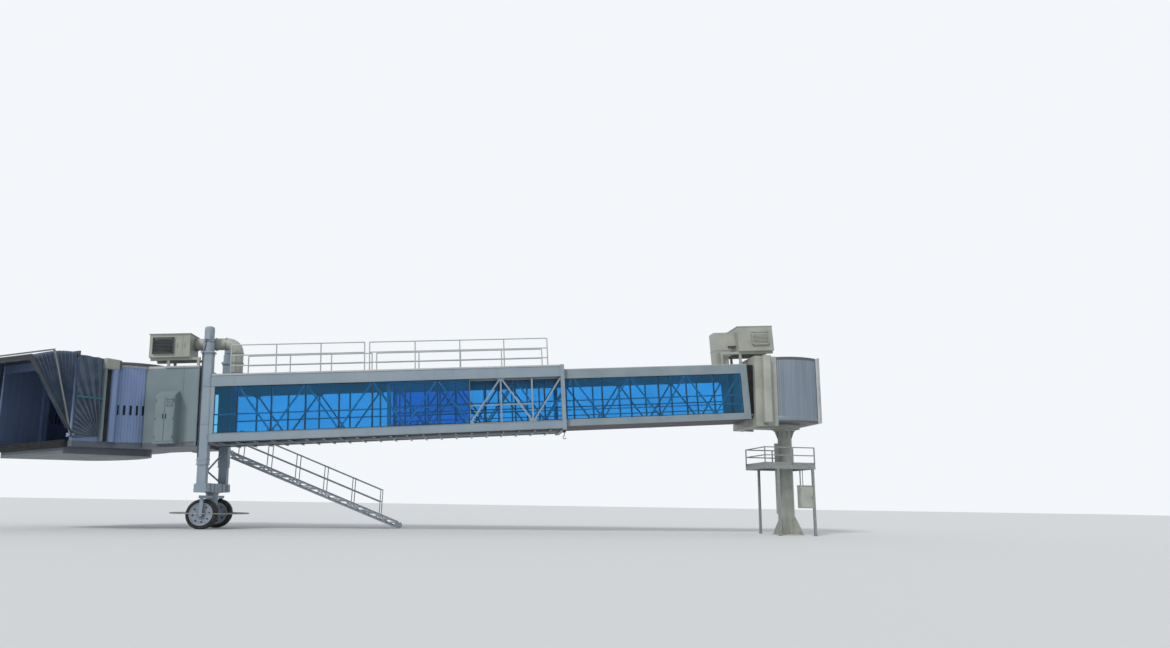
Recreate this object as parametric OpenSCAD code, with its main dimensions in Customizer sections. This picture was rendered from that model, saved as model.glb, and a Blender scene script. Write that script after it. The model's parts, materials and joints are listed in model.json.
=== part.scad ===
// Two-section passenger boarding bridge: rotunda on a column, telescoping
// glazed truss tunnels, wheeled lift drive, swinging cab with folding canopy
// and a service stair. The origin is on the ground at the rotunda's column.
// The tunnels run towards -X and the side seen first is -Y.

/* [Levels and slope] */
// Downward slope of the tunnels towards the cab, in degrees
slope_deg = 3.9; // [3:0.1:5]
// Height of the rotunda floor above the ground
floor_top = 4575; // [4400:5:4800]
// Distance from the column axis to the tunnel hinge
hinge_x = 1760; // [1740:5:1800]

/* [Rotunda] */
// Outer diameter of the column
column_d = 560; // [420:10:700]
// Wall of the column
column_wall = 16; // [10:1:30]
// Diameter of the anchored base plate
base_plate_d = 1240; // [1100:10:1400]
// Thickness of the anchored base plate
base_plate_t = 50; // [30:5:80]
// Diameter of an anchor bolt hole
anchor_hole_d = 36; // [24:1:48]
// Height of the stiffening fins at the foot of the column
fin_h = 650; // [400:10:900]
// Outer radius of the slatted curtain drum
drum_r = 1600; // [1550:10:1700]
// Thickness of a slatted curtain
curtain_t = 30; // [20:1:40]
// Thickness of the rotunda floor
rotunda_floor_t = 240; // [150:10:300]
// Height between rotunda floor and ceiling
rotunda_clear_h = 2250; // [2150:10:2350]
// Thickness of the flat rim of the rotunda roof
rotunda_roof_t = 100; // [60:10:160]
// Rise of the low cone on the rotunda roof
roof_cone_h = 90; // [40:10:140]
// Half width of the passage through both rotunda frames
passage_half = 1200; // [1150:10:1250]
// Thickness of the jambs of the terminal portal
portal_jamb_t = 130; // [100:5:160]
// Distance from the column axis to the terminal face of the portal
portal_x = 1020; // [980:10:1100]
// Depth of the terminal portal's frame
portal_depth = 120; // [100:5:130]

/* [Service platform] */
// Level of the platform deck
platform_z = 2700; // [2500:10:2900]
// Half depth of the platform
platform_half_y = 1100; // [1000:10:1300]
// Reach of the platform towards the tunnel
platform_reach_tunnel = 1300; // [1200:10:1500]
// Reach of the platform towards the terminal
platform_reach_terminal = 780; // [700:10:900]
// Height of the platform rails above the deck
platform_rail_h = 700; // [600:10:800]
// Side of a platform post
platform_post = 90; // [60:5:120]

/* [Inner tunnel] */
// Length of the inner tunnel
inner_len = 14010; // [13500:10:14010]
// Half width of the inner tunnel
inner_half = 1200; // [1180:5:1220]
// Height of the inner tunnel
inner_h = 2170; // [2120:10:2190]
// Height of the inner lower side beam
inner_low_beam = 250; // [200:10:300]
// Height of the inner upper side beam
inner_top_beam = 350; // [300:10:400]
// Depth of the inner side frames
inner_side_t = 90; // [80:5:110]
// Thickness of the inner floor
inner_floor_t = 120; // [80:5:140]
// Length of one bay of the inner truss
inner_bay = 1120; // [1000:10:1240]

/* [Outer tunnel] */
// Distance from the hinge to the mouth of the outer tunnel
outer_start = 7440; // [7200:10:7800]
// Distance from the hinge to the end of the outer tunnel
outer_end = 20180; // [20100:10:20400]
// Gap between the side frames of the two tunnels
side_gap = 80; // [60:5:100]
// Gap between the two tunnels at the roof
roof_gap = 55; // [40:5:80]
// Height of the outer lower side beam
outer_low_beam = 300; // [250:10:350]
// Height of the outer upper side beam
outer_top_beam = 400; // [350:10:450]
// Depth of the outer side frames
outer_side_t = 120; // [100:5:140]
// Thickness of the outer floor
outer_floor_t = 60; // [40:5:80]
// Thickness of the outer roof
outer_roof_t = 60; // [40:5:80]
// Length of one bay of the outer truss
outer_bay = 1178; // [1150:2:1200]
// Number of open bays next to the mouth
open_bays = 3; // [2:1:4]
// Gap between the two tunnels at the floor
tunnel_gap = 25; // [15:1:40]
// Height of the roof railing
roof_rail_h = 1150; // [900:10:1250]
// Start and end of the roof railing nearer the mouth
rail_a_start = 8030; // [7900:10:8400]
rail_a_end = 14720; // [14400:10:14760]
// Start and end of the roof railing nearer the cab
rail_b_start = 14900; // [14860:10:15200]
rail_b_end = 19630; // [19300:10:19800]
// Diameter of a railing tube
rail_d = 45; // [30:1:60]

/* [Glazing and truss bars] */
// Thickness of the window glass
glass_t = 12; // [8:1:20]
// Width of a truss bar
bar_w = 60; // [40:5:90]

/* [Corridor and cab] */
// What the narrow neck is longer than the lift columns are thick
lift_bay_play = 90; // [80:5:120]
// Distance from the hinge to the cab's turning centre
cab_s = 23930; // [23850:10:24050]
// Rest angle of the cab from straight ahead, in degrees
cab_angle = 66; // [40:1:80]
// Outer radius of the cab's slatted curtain
cab_drum_r = 2100; // [2080:10:2140]
// Underside of the corridor and the cab's fixed drum
cab_low = -200; // [-260:5:-160]
// Top of the corridor and the cab's fixed drum
cab_top = 2670; // [2600:10:2750]
// Thickness of the corridor walls
corridor_wall_t = 80; // [60:5:110]
// Half width of the clear cab mouth
cab_mouth_half = 1500; // [1450:10:1520]
// Thickness of the cab side walls
cab_wall_t = 120; // [80:5:140]
// Distance from the turning centre to the cab front
cab_front = 3050; // [2950:10:3120]
// Depth of the frame under the cab
cab_under_h = 215; // [150:5:260]

/* [Canopy] */
// Angle by which the canopy front leans out, in degrees
canopy_open = 35; // [25:1:40]
// Radius of the front hoop
canopy_r = 2880; // [2700:10:2950]
// Thickness of the canopy fabric in its folds
fabric_t = 20; // [10:1:30]

/* [Air conditioning] */
// Length of the unit over the rotunda
rotunda_unit_len = 1480; // [1300:10:1500]
// Depth of the unit over the rotunda
rotunda_unit_w = 1400; // [1200:10:1500]
// Height of the unit over the rotunda
rotunda_unit_h = 1000; // [900:10:1100]
// Height of its skid's top over the tunnel roof
rotunda_skid_h = 580; // [560:10:640]
// Length of the unit over the corridor
cab_unit_len = 1360; // [1200:10:1400]
// Depth of the unit over the corridor
cab_unit_w = 900; // [850:10:1000]
// Height of the unit over the corridor
cab_unit_h = 840; // [760:10:900]
// Diameter of the round air duct
duct_d = 440; // [400:10:450]

/* [Lift drive] */
// Side of an outer lift tube
lift_outer = 330; // [300:10:340]
// Side of an inner lift tube
lift_inner = 290; // [220:5:300]
// Wall of the lift tubes
lift_wall = 14; // [8:1:18]
// Bottom of the outer lift tube below the inner tunnel's underside
lift_tube_low = 860; // [780:10:900]
// Diameter of a drive wheel
wheel_d = 1040; // [980:10:1080]
// Width of a drive tyre
tyre_w = 330; // [260:10:360]
// Distance between the two wheel centres
wheel_track = 1700; // [1600:10:1800]
// Radius of the guard hoop round the wheels
hoop_r = 1300; // [1250:10:1400]

/* [Stair] */
// Width of the stair over its stringers
stair_w = 800; // [700:10:850]
// Gap between the corridor and the stair
stair_gap = 650; // [600:10:750]
// Distance between two treads along the flight
tread_pitch = 310; // [280:10:360]
// Slope of the stair, in degrees
stair_deg = 21.5; // [20.5:0.1:24]
// Height of the stringer lattice
stringer_h = 230; // [180:10:260]

/* [Hidden] */

// Fits: a running gap, and the clearance of parts that move past each other
seat_gap = 0.3;
run_gap = 5;
pin_gap = 0.05;
far_past = 50;
round_fn = 192;

hinge_z = floor_top - inner_floor_t;
outer_half = inner_half + side_gap + outer_side_t;
corridor_half = outer_half;
lift_bay = lift_outer + lift_bay_play;
corridor_start = outer_end + lift_bay;
lift_s = outer_end + lift_bay / 2;
lift_side_gap = 35;
lift_y = outer_half - lift_side_gap - lift_outer / 2;
neck_half = lift_y - lift_outer / 2 - lift_side_gap;
neck_t = 30;
stair_y = corridor_half + stair_gap + stair_w / 2;
ceiling_z = floor_top + rotunda_clear_h;
outer_low = -tunnel_gap - outer_floor_t;
outer_h = outer_floor_t + tunnel_gap + inner_h + roof_gap + outer_roof_t;
outer_top = outer_low + outer_h;
swing_cut_r = drum_r + 2 * run_gap;
slew_ring_top = floor_top - rotunda_floor_t - run_gap;
slew_ring_t = 150;
slew_ring_r = 620;
cable_duct = 150;
cable_duct_low = 800;
cable_duct_top = 3600;
frame_far_x = hinge_x - 60;
sill_top = hinge_z + inner_floor_t - 25;
portal_half = passage_half + portal_jamb_t;
swing_half = passage_half + 200;
frame_head_z = hinge_z + inner_h - 30;
frame_top_z = ceiling_z + 120;
barrel_d = 250;
barrel_y = swing_half + barrel_d / 2 + 10;
barrel_x = 1255;

hinge_pin_d = 60;
hinge_eye_r = 52;
hinge_eye_y = 850;
hinge_eye_t = 90;

inner_start = 60;
inner_tail = inner_start + inner_len;
inner_post_s = inner_start + 310;
inner_bays = floor((inner_tail - inner_post_s - 100) / inner_bay);
inner_roof_t = 60;

mouth_w = 150;
open_end_s = outer_start + mouth_w / 2 + open_bays * outer_bay;
outer_bays = floor((outer_end - outer_start - mouth_w / 2) / outer_bay);
outer_glass_low = outer_low + outer_low_beam;
outer_glass_top = outer_top - outer_top_beam;

corridor_stop = cab_s - sqrt(pow(cab_drum_r, 2) - pow(corridor_half, 2));
drum_floor_r = cab_drum_r - 35;
cab_floor_top = -tunnel_gap;
cab_wall_x = sqrt(pow(cab_drum_r + 15, 2) - pow(cab_mouth_half, 2));
cab_half = cab_mouth_half + cab_wall_t;
cab_roof_low = cab_top + run_gap;
cab_roof_t = 85;
cab_corridor_angle = asin(corridor_half / cab_drum_r);
cab_mouth_angle = asin(cab_mouth_half / (cab_drum_r + 15));

front_angle = 90 - canopy_open;
mid_angle = 90 - canopy_open / 2;
canopy_x = cab_front + 60;
canopy_z = 150;
canopy_mid_r = canopy_r - 80;
hoop_t = 50;
canopy_half = cab_half + 100;
canopy_mid_half = canopy_half - 80;
canopy_pin_d = 50;
hoop_eye_r = 50;
fabric_r = canopy_mid_r - hoop_t - seat_gap;
fabric_half = canopy_mid_half - hoop_t - seat_gap;
lip_r = 2250;

lift_top = 3130;
lift_hole = lift_outer - 2 * lift_wall;
lift_inner_top = 2400;
carriage_top = -1500;
carriage_h = 300;
axle_z = wheel_d / 2;
pivot_z = hinge_z - lift_s * sin(slope_deg) + (carriage_top - carriage_h) * cos(slope_deg) - 50;
bogie_x = -hinge_x - lift_s * cos(slope_deg) - (carriage_top - carriage_h) * sin(slope_deg);
pivot_pin_d = 160;
axle_d = 110;

landing_s0 = corridor_start + 20;
landing_s1 = landing_s0 + 1020;
landing_n = -120;
stair_pin_s = landing_s0 - 50;
stair_pin_n = landing_n - 20;
stair_pin_d = 40;
stair_top_x = -hinge_x - stair_pin_s * cos(slope_deg) - stair_pin_n * sin(slope_deg);
stair_top_z = hinge_z - stair_pin_s * sin(slope_deg) + stair_pin_n * cos(slope_deg);
foot_wheel_r = 110;
stair_len = (stair_top_z - foot_wheel_r - stringer_h / 2 * cos(stair_deg)) / sin(stair_deg);

// A straight block given by its two corners
module block(low, high) {
    translate(low) cube(high - low);
}

// The tilted frame of the tunnels: -X runs down the tunnel from the hinge
module on_tunnel() {
    translate([-hinge_x, 0, hinge_z]) rotate([0, -slope_deg, 0]) children();
}

// A block in the tunnel's frame, from distance s0 to s1 along the tunnel
module span(s0, s1, y0, y1, n0, n1) {
    block([-s1, y0, n0], [-s0, y1, n1]);
}

// Two copies, one on each side of the middle plane
module both_sides() {
    children();
    mirror([0, 1, 0]) children();
}

// The frame of the cab: +X looks out of the cab's mouth
module in_cab() {
    on_tunnel() translate([-cab_s, 0, 0]) rotate([0, 0, 180 + cab_angle]) children();
}

// The frame of the canopy hoops: origin on their pivot, X along a hoop at angle 0
module at_canopy_pivot(angle) {
    in_cab() translate([canopy_x, 0, canopy_z]) rotate([0, -angle, 0]) children();
}

// The frame of the stair: origin on its hinge, +X down the flight
module on_stair() {
    translate([stair_top_x, stair_y, stair_top_z]) rotate([0, stair_deg, 0]) children();
}

// A curved wall between two angles
module arc_wall(r0, r1, z0, z1, a0, a1) {
    rotate([0, 0, a0]) rotate_extrude(angle = a1 - a0, $fn = round_fn)
        translate([r0, z0]) square([r1 - r0, z1 - z0]);
}

// A square bar between two points of the X-Z plane, y0 to y1 thick
module flat_bar(p, q, w, y0, y1) {
    d = q - p;
    translate([p[0], y0, p[1]]) rotate([0, -atan2(d[1], d[0]), 0])
        translate([0, 0, -w / 2]) cube([norm(d), y1 - y0, w]);
}

// A round tube between two points
module rod(p, q, d, sides = 8) {
    v = q - p;
    translate(p) rotate([0, acos(v[2] / norm(v)), atan2(v[1], v[0])])
        cylinder(d = d, h = norm(v), $fn = sides);
}

// Rotunda

module rotunda_column() {
    color([0.72, 0.72, 0.68]) {
        top = floor_top - rotunda_floor_t;
        difference() {
            translate([0, 0, base_plate_t]) cylinder(d = column_d, h = top - base_plate_t, $fn = 64);
            translate([0, 0, base_plate_t]) cylinder(d = column_d - 2 * column_wall, h = top, $fn = 64);
        }
        // upright cable duct beside the column
        block([-column_d / 2 - cable_duct, -cable_duct / 2, cable_duct_low],
            [-column_d / 2 + 8, cable_duct / 2, cable_duct_top]);
        // anchored base plate with tapered fins
        difference() {
            cylinder(d = base_plate_d, h = base_plate_t + 1, $fn = 96);
            translate([0, 0, base_plate_t]) difference() {
                cylinder(d = base_plate_d + 2, h = 2, $fn = 96);
                cylinder(d = column_d - 2, h = 2, $fn = 64);
            }
            for (a = [0 : 45 : 315])
                rotate([0, 0, a]) translate([base_plate_d / 2 - 90, 0, -1])
                    cylinder(d = anchor_hole_d, h = base_plate_t + 2, $fn = 24);
        }
        for (a = [0 : 45 : 315])
            rotate([0, 0, a + 22.5]) rotate([90, 0, 0]) translate([0, 0, -12])
                linear_extrude(24) polygon([
                    [column_d / 2 - 8, base_plate_t - 1], [base_plate_d / 2 - 60, base_plate_t - 1],
                    [base_plate_d / 2 - 60, base_plate_t + 80], [column_d / 2 + 20, base_plate_t + fin_h],
                    [column_d / 2 - 8, base_plate_t + fin_h]]);
        // collar that carries the slewing ring, with brackets below it
        collar_top = slew_ring_top - slew_ring_t - seat_gap;
        translate([0, 0, collar_top - 80]) difference() {
            cylinder(r = column_d / 2 + 150, h = 80, $fn = 64);
            translate([0, 0, -1]) cylinder(d = column_d - 10, h = 82, $fn = 64);
        }
        for (a = [0 : 45 : 315])
            rotate([0, 0, a]) rotate([90, 0, 0]) translate([0, 0, -10])
                linear_extrude(20) polygon([
                    [column_d / 2 - 8, collar_top - 80], [column_d / 2 + 140, collar_top - 80],
                    [column_d / 2 + 20, collar_top - 380], [column_d / 2 - 8, collar_top - 380]]);
    }
}

// A disc of the rotunda, cut off straight at the back of the terminal portal
module rotunda_disc(r, z0, z1) {
    difference() {
        translate([0, 0, z0]) cylinder(r = r, h = z1 - z0, $fn = round_fn);
        block([portal_x - portal_depth, -r - 1, z0 - 1], [r + 1, r + 1, z1 + 1]);
    }
}

module rotunda_floor() {
    color([0.50, 0.51, 0.52]) rotunda_disc(drum_r, floor_top - rotunda_floor_t, floor_top);
}

module rotunda_roof() {
    cone_z = ceiling_z + rotunda_roof_t;
    color([0.70, 0.73, 0.75]) {
        rotunda_disc(drum_r, ceiling_z, cone_z);
        translate([0, 0, cone_z]) cylinder(r1 = portal_x - portal_depth - 50, r2 = 250, h = roof_cone_h, $fn = round_fn);
    }
}

module terminal_portal() {
    low = floor_top - rotunda_floor_t;
    high = ceiling_z + rotunda_roof_t;
    color([0.66, 0.69, 0.70]) difference() {
        union() {
            block([portal_x - portal_depth, -portal_half, low], [portal_x, portal_half, high]);
            // flange for the fixed walkway
            block([portal_x - 30, -portal_half - 40, low], [portal_x, portal_half + 40, high + 40]);
            // cheeks that reach back to the drum
            both_sides() difference() {
                block([drum_r * 0.45, passage_half, low], [portal_x, portal_half, high]);
                translate([0, 0, low - 1]) cylinder(r = drum_r, h = high - low + 2, $fn = round_fn);
            }
        }
        block([0, -passage_half, floor_top], [portal_x + 1, passage_half, ceiling_z]);
    }
}

module rotunda_curtains() {
    // a curtain ends at the portal's cheek or at its back, whichever it meets first
    portal_edge = max(asin(portal_half / drum_r), acos((portal_x - portal_depth) / drum_r));
    swing_edge = asin(passage_half / drum_r);
    color([0.66, 0.70, 0.74]) both_sides()
        arc_wall(drum_r - curtain_t, drum_r, floor_top + seat_gap, ceiling_z - seat_gap, portal_edge, 180 - swing_edge);
}

module service_platform() {
    color([0.58, 0.59, 0.57]) {
        difference() {
            union() {
                block([-platform_reach_tunnel, -platform_half_y, platform_z - 40],
                    [platform_reach_terminal, platform_half_y, platform_z]);
                for (y = [-platform_half_y, platform_half_y - 60])
                    block([-platform_reach_tunnel, y, platform_z - 160],
                        [platform_reach_terminal, y + 60, platform_z - 40]);
                for (x = [-platform_reach_tunnel, platform_reach_terminal - 60])
                    block([x, -platform_half_y, platform_z - 160],
                        [x + 60, platform_half_y, platform_z - 40]);
            }
            translate([0, 0, platform_z - 200]) cylinder(d = column_d + 0.6, h = 300, $fn = 64);
            block([-column_d / 2 - cable_duct - 5, -cable_duct / 2 - 5, platform_z - 200],
                [0, cable_duct / 2 + 5, platform_z + 1]);
        }
        // legs down to the ground
        for (x = [-platform_reach_tunnel + 500, platform_reach_terminal - platform_post - 60],
             y = [-platform_half_y, platform_half_y - platform_post])
            block([x, y, 0], [x + platform_post, y + platform_post, platform_z - 40]);
        // rails
        for (x = [-platform_reach_tunnel, -150, platform_reach_terminal - 40],
             y = [-platform_half_y, platform_half_y - 40])
            block([x, y, platform_z], [x + 40, y + 40, platform_z + platform_rail_h]);
        for (z = [platform_z + platform_rail_h / 2, platform_z + platform_rail_h - 40],
             y = [-platform_half_y, platform_half_y - 40])
            block([-platform_reach_tunnel, y, z], [platform_reach_terminal, y + 40, z + 40]);
        for (z = [platform_z + platform_rail_h / 2, platform_z + platform_rail_h - 40])
            block([-platform_reach_tunnel, -platform_half_y, z],
                [-platform_reach_tunnel + 40, platform_half_y, z + 40]);
    }
}

module power_cabinet() {
    x1 = platform_reach_terminal - platform_post - 60;
    color([0.80, 0.80, 0.76]) block([x1 - 520, -platform_half_y, 1040], [x1, -platform_half_y + 300, 1900]);
}

module swing_frame() {
    ring_low = slew_ring_top - slew_ring_t;
    color([0.66, 0.68, 0.66]) {
        difference() {
            union() {
                // side jambs, head and sill
                both_sides() block([-frame_far_x, passage_half, ring_low], [0, swing_half, frame_top_z]);
                block([-frame_far_x, -swing_half, frame_head_z], [0, swing_half, frame_top_z]);
                block([-frame_far_x, -swing_half, ring_low], [0, swing_half, sill_top]);
            }
            translate([0, 0, ring_low - 1]) cylinder(r = swing_cut_r, h = frame_top_z, $fn = round_fn);
        }
        // arm and slewing ring under the rotunda floor
        difference() {
            union() {
                block([-frame_far_x, -450, ring_low], [0, 450, slew_ring_top]);
                translate([0, 0, ring_low]) cylinder(r = slew_ring_r, h = slew_ring_t, $fn = 64);
            }
            translate([0, 0, ring_low - 1]) cylinder(d = column_d + 2 * seat_gap, h = slew_ring_t + 2, $fn = 64);
        }
        // hinge lugs and pins
        for (y = [-hinge_eye_y, hinge_eye_y]) {
            for (e = [-1, 1])
                hinge_lug(y + e * (hinge_eye_t / 2 + 20 + seat_gap));
            translate([-hinge_x, y + hinge_eye_t / 2 + 55, hinge_z]) rotate([90, 0, 0])
                cylinder(d = hinge_pin_d, h = hinge_eye_t + 110, $fn = 32);
        }
        // barrels that take up the curtains
        both_sides() {
            translate([-barrel_x, barrel_y, floor_top - rotunda_floor_t])
                cylinder(d = barrel_d, h = rotunda_clear_h + rotunda_floor_t, $fn = 32);
            translate([-barrel_x, barrel_y, floor_top - rotunda_floor_t - 90])
                cylinder(d1 = barrel_d - 120, d2 = barrel_d, h = 90, $fn = 32);
            block([-barrel_x - 60, swing_half - 1, ceiling_z - 300], [-barrel_x + 60, barrel_y, ceiling_z - 200]);
            block([-barrel_x - 60, swing_half - 1, floor_top], [-barrel_x + 60, barrel_y, floor_top + 100]);
        }
    }
}

// One lug of the swing frame, centred on y, round the hinge pin
module hinge_lug(y) {
    translate([0, y + 20, 0]) rotate([90, 0, 0]) linear_extrude(40) union() {
        translate([-hinge_x, hinge_z]) circle(r = hinge_eye_r, $fn = 32);
        translate([-hinge_x, hinge_z - hinge_eye_r]) square([hinge_x - frame_far_x + 1, hinge_eye_r * 1.6]);
    }
}

// Folded weather seal between the swing frame and the inner tunnel
module hinge_seal() {
    color([0.20, 0.21, 0.22]) difference() {
        seal_body(passage_half + 30, frame_head_z + 45, 0);
        seal_body(passage_half - 30, frame_head_z - 25, far_past);
    }
}

// X of the inner tunnel's first end at a height z
function tunnel_end_x(z) = -hinge_x - inner_start * cos(slope_deg)
    - tan(slope_deg) * (z - hinge_z + inner_start * sin(slope_deg));

// Outline of the seal seen from the side: upright on the frame, leaning on the tunnel
module seal_body(half, top, past) {
    low = floor_top + 60 - past;
    translate([0, half, 0]) rotate([90, 0, 0]) linear_extrude(2 * half)
        polygon([[-frame_far_x - seat_gap + past, low], [tunnel_end_x(low) + seat_gap - past, low],
            [tunnel_end_x(top) + seat_gap - past, top], [-frame_far_x - seat_gap + past, top]]);
}

// Tunnels

// Side frame of a tunnel: lower and upper beam, end posts, bay posts,
// alternating diagonals and an inner handrail, on the -Y side
module side_frame(s0, s1, half, t, low, top, low_beam, top_beam, first, bay, bays, up_first, lead) {
    glass_low = low + low_beam;
    glass_top = top - top_beam;
    bar_y0 = -half + t * 0.35;
    bar_y1 = -half + t * 0.85;
    span(s0, s1, -half, -half + t, low, glass_low);
    span(s0, s1, -half, -half + t, glass_top, top);
    span(s1 - 120, s1, -half, -half + t, glass_low - 1, glass_top + 1);
    for (k = [0 : bays])
        span(first + k * bay - bar_w / 2, first + k * bay + bar_w / 2, bar_y0, bar_y1, glass_low - 1, glass_top + 1);
    for (k = [0 : bays - 1]) {
        rising = (k + up_first) % 2 == 0;
        flat_bar([-first - k * bay, rising ? glass_low - 20 : glass_top + 20],
            [-first - (k + 1) * bay, rising ? glass_top + 20 : glass_low - 20], bar_w, bar_y0 + 4, bar_y1 - 4);
    }
    // diagonal from the first end to the first post
    if (lead)
        flat_bar([-s0, glass_top - 40], [-first, glass_low - 20], bar_w, bar_y0 + 4, bar_y1 - 4);
    rail_z = low + 950;
    span(first, s1 - 60, bar_y1 - 1, bar_y1 + 45, rail_z, rail_z + 45);
}

module inner_truss() {
    color([0.52, 0.58, 0.60]) on_tunnel() {
        side_frame(inner_start, inner_tail, inner_half, inner_side_t, 0, inner_h,
            inner_low_beam, inner_top_beam, inner_post_s, inner_bay, inner_bays, 1, false);
        // closed panel next to the rotunda
        span(inner_start, inner_post_s - bar_w / 2, -inner_half, -inner_half + inner_side_t,
            inner_low_beam - 1, inner_h - inner_top_beam + 1);
    }
}

module inner_truss_near() {
    inner_truss();
}

module inner_truss_far() {
    mirror([0, 1, 0]) inner_truss();
}

module inner_glass() {
    color([0.30, 0.58, 0.78]) on_tunnel() both_sides()
        span(inner_post_s - bar_w / 2, inner_tail - 120, -inner_half + 10, -inner_half + 10 + glass_t,
            inner_low_beam, inner_h - inner_top_beam);
}

module inner_floor() {
    inside = inner_half - inner_side_t;
    color([0.34, 0.35, 0.37]) on_tunnel() {
        span(inner_start, inner_tail, -inside, inside, 0, inner_floor_t);
        // flap over the hinge
        span(-110, inner_start + 5, -inside + 20, inside - 20, inner_floor_t - 12, inner_floor_t);
        // eyes of the hinge
        for (y = [-hinge_eye_y, hinge_eye_y])
            translate([0, y + hinge_eye_t / 2, 0]) rotate([90, 0, 0]) linear_extrude(hinge_eye_t)
                difference() {
                    union() {
                        circle(r = hinge_eye_r, $fn = 32);
                        translate([-inner_start - 40, 0]) square([inner_start + 40, hinge_eye_r]);
                    }
                    circle(d = hinge_pin_d + 2 * pin_gap, $fn = 32);
                }
        // wear pads on the tail, which slide on the outer floor
        for (y = [-700, 700])
            span(inner_tail - 400, inner_tail - 100, y - 80, y + 80, -tunnel_gap + seat_gap, 1);
    }
}

module inner_roof() {
    inside = inner_half - inner_side_t;
    color([0.70, 0.72, 0.73]) on_tunnel() {
        span(inner_start, inner_tail, -inside, inside, inner_h - inner_roof_t, inner_h);
        for (k = [0 : floor((inner_len - 400) / 1200)])
            span(inner_start + 200 + k * 1200, inner_start + 260 + k * 1200, -inside, inside,
                inner_h - inner_roof_t - 60, inner_h - inner_roof_t + 1);
    }
}

module rotunda_aircon() {
    roof_n = inner_h;
    skid_n = roof_n + rotunda_skid_h;
    unit_y0 = -1000;
    unit_end = 230;
    rail_w = 90;
    rail_h = 100;
    rail_end = 1000;
    hood_s0 = 200;
    hood_s1 = 900;
    hood_d = 40;
    hood_n0 = 240;
    hood_n1 = 790;
    duct_y0 = -700;
    duct_y1 = -100;
    duct_n0 = 290;
    duct_n1 = 840;
    duct_drop_s0 = 600;
    duct_drop_s1 = 1150;
    color([0.72, 0.73, 0.68]) on_tunnel() {
        // skid on the tunnel roof that reaches over the rotunda, its legs apart from it
        for (y = [-900, 200]) {
            span(unit_end - rotunda_unit_len + 20, rail_end, y, y + rail_w, skid_n - rail_h, skid_n);
            for (s = [120, rail_end - 100])
                span(s, s + rail_w, y, y + rail_w, roof_n, skid_n - rail_h - seat_gap);
        }
        span(unit_end - rotunda_unit_len, unit_end, unit_y0, rotunda_unit_w + unit_y0, skid_n - 1, skid_n + rotunda_unit_h);
        // louvre hood
        span(unit_end - rotunda_unit_len + hood_s0, unit_end - rotunda_unit_len + hood_s1, unit_y0 - hood_d, unit_y0 + 1,
            skid_n + hood_n0, skid_n + hood_n1);
        // air duct into the tunnel roof
        span(unit_end + seat_gap, duct_drop_s0, duct_y0, duct_y1, skid_n + duct_n0, skid_n + duct_n1);
        span(duct_drop_s0 - 1, duct_drop_s1, duct_y0, duct_y1, roof_n, skid_n + duct_n1);
    }
}

module outer_truss() {
    color([0.52, 0.58, 0.61]) on_tunnel()
        difference() {
            side_frame(outer_start + mouth_w, outer_end, outer_half, outer_side_t, outer_low, outer_top,
                outer_low_beam, outer_top_beam, outer_start + mouth_w / 2 + outer_bay, outer_bay, outer_bays - 1, 0,
                true);
            // the mouth frame's post stands here
            span(outer_start, outer_start + mouth_w, -outer_half - 1, -outer_half + outer_side_t + 1,
                outer_low, outer_top);
        }
}

module outer_truss_near() {
    outer_truss();
}

module outer_truss_far() {
    mirror([0, 1, 0]) outer_truss();
}

module outer_glass() {
    color([0.26, 0.55, 0.76]) on_tunnel() both_sides()
        span(open_end_s, outer_end - 120, -outer_half + 10, -outer_half + 10 + glass_t,
            outer_glass_low, outer_glass_top);
}

module outer_floor() {
    inside = outer_half - outer_side_t;
    color([0.33, 0.34, 0.36]) on_tunnel() {
        span(outer_start + mouth_w, outer_end, -inside, inside, outer_low, outer_low + outer_floor_t);
        // rollers at the mouth, under the inner tunnel
        for (y = [-900, 900])
            span(outer_start + mouth_w + 50, outer_start + mouth_w + 350, y - 80, y + 80,
                outer_low + outer_floor_t - 1, -seat_gap);
    }
}

module outer_roof() {
    inside = outer_half - outer_side_t;
    color([0.70, 0.72, 0.73]) on_tunnel() {
        span(outer_start + mouth_w, outer_end, -inside, inside, outer_top - outer_roof_t, outer_top);
        for (k = [0 : floor((outer_end - outer_start - 800) / 1200)])
            span(outer_start + 400 + k * 1200, outer_start + 460 + k * 1200, -outer_half, outer_half,
                outer_top, outer_top + 50);
    }
}

module mouth_frame() {
    color([0.62, 0.66, 0.67]) on_tunnel() {
        both_sides()
            span(outer_start, outer_start + mouth_w, -outer_half - 30, -outer_half + outer_side_t,
                outer_low - 60, outer_top + 60);
        span(outer_start, outer_start + mouth_w, -outer_half, outer_half, outer_low - 60,
            outer_low + outer_floor_t - 5);
        span(outer_start, outer_start + mouth_w, -outer_half, outer_half, outer_top - outer_roof_t, outer_top + 60);
    }
}

module roof_railings() {
    post_y = outer_half - 260;
    foot = outer_top;
    color([0.64, 0.65, 0.66]) on_tunnel() both_sides() {
        railing(rail_a_start, rail_a_end, 4, post_y, foot);
        railing(rail_b_start, rail_b_end, 3, post_y, foot);
    }
}

// One length of roof railing from s0 to s1 with posts between its bays
module railing(s0, s1, bays, y, foot) {
    bay = (s1 - s0) / bays;
    for (k = [0 : bays])
        rod([-s0 - k * bay, -y, foot], [-s0 - k * bay, -y, foot + roof_rail_h], rail_d);
    for (h = [roof_rail_h / 3, roof_rail_h * 2 / 3, roof_rail_h])
        rod([-s1, -y, foot + h], [-s0, -y, foot + h], rail_d);
}

// Corridor, cab and its machinery

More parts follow.
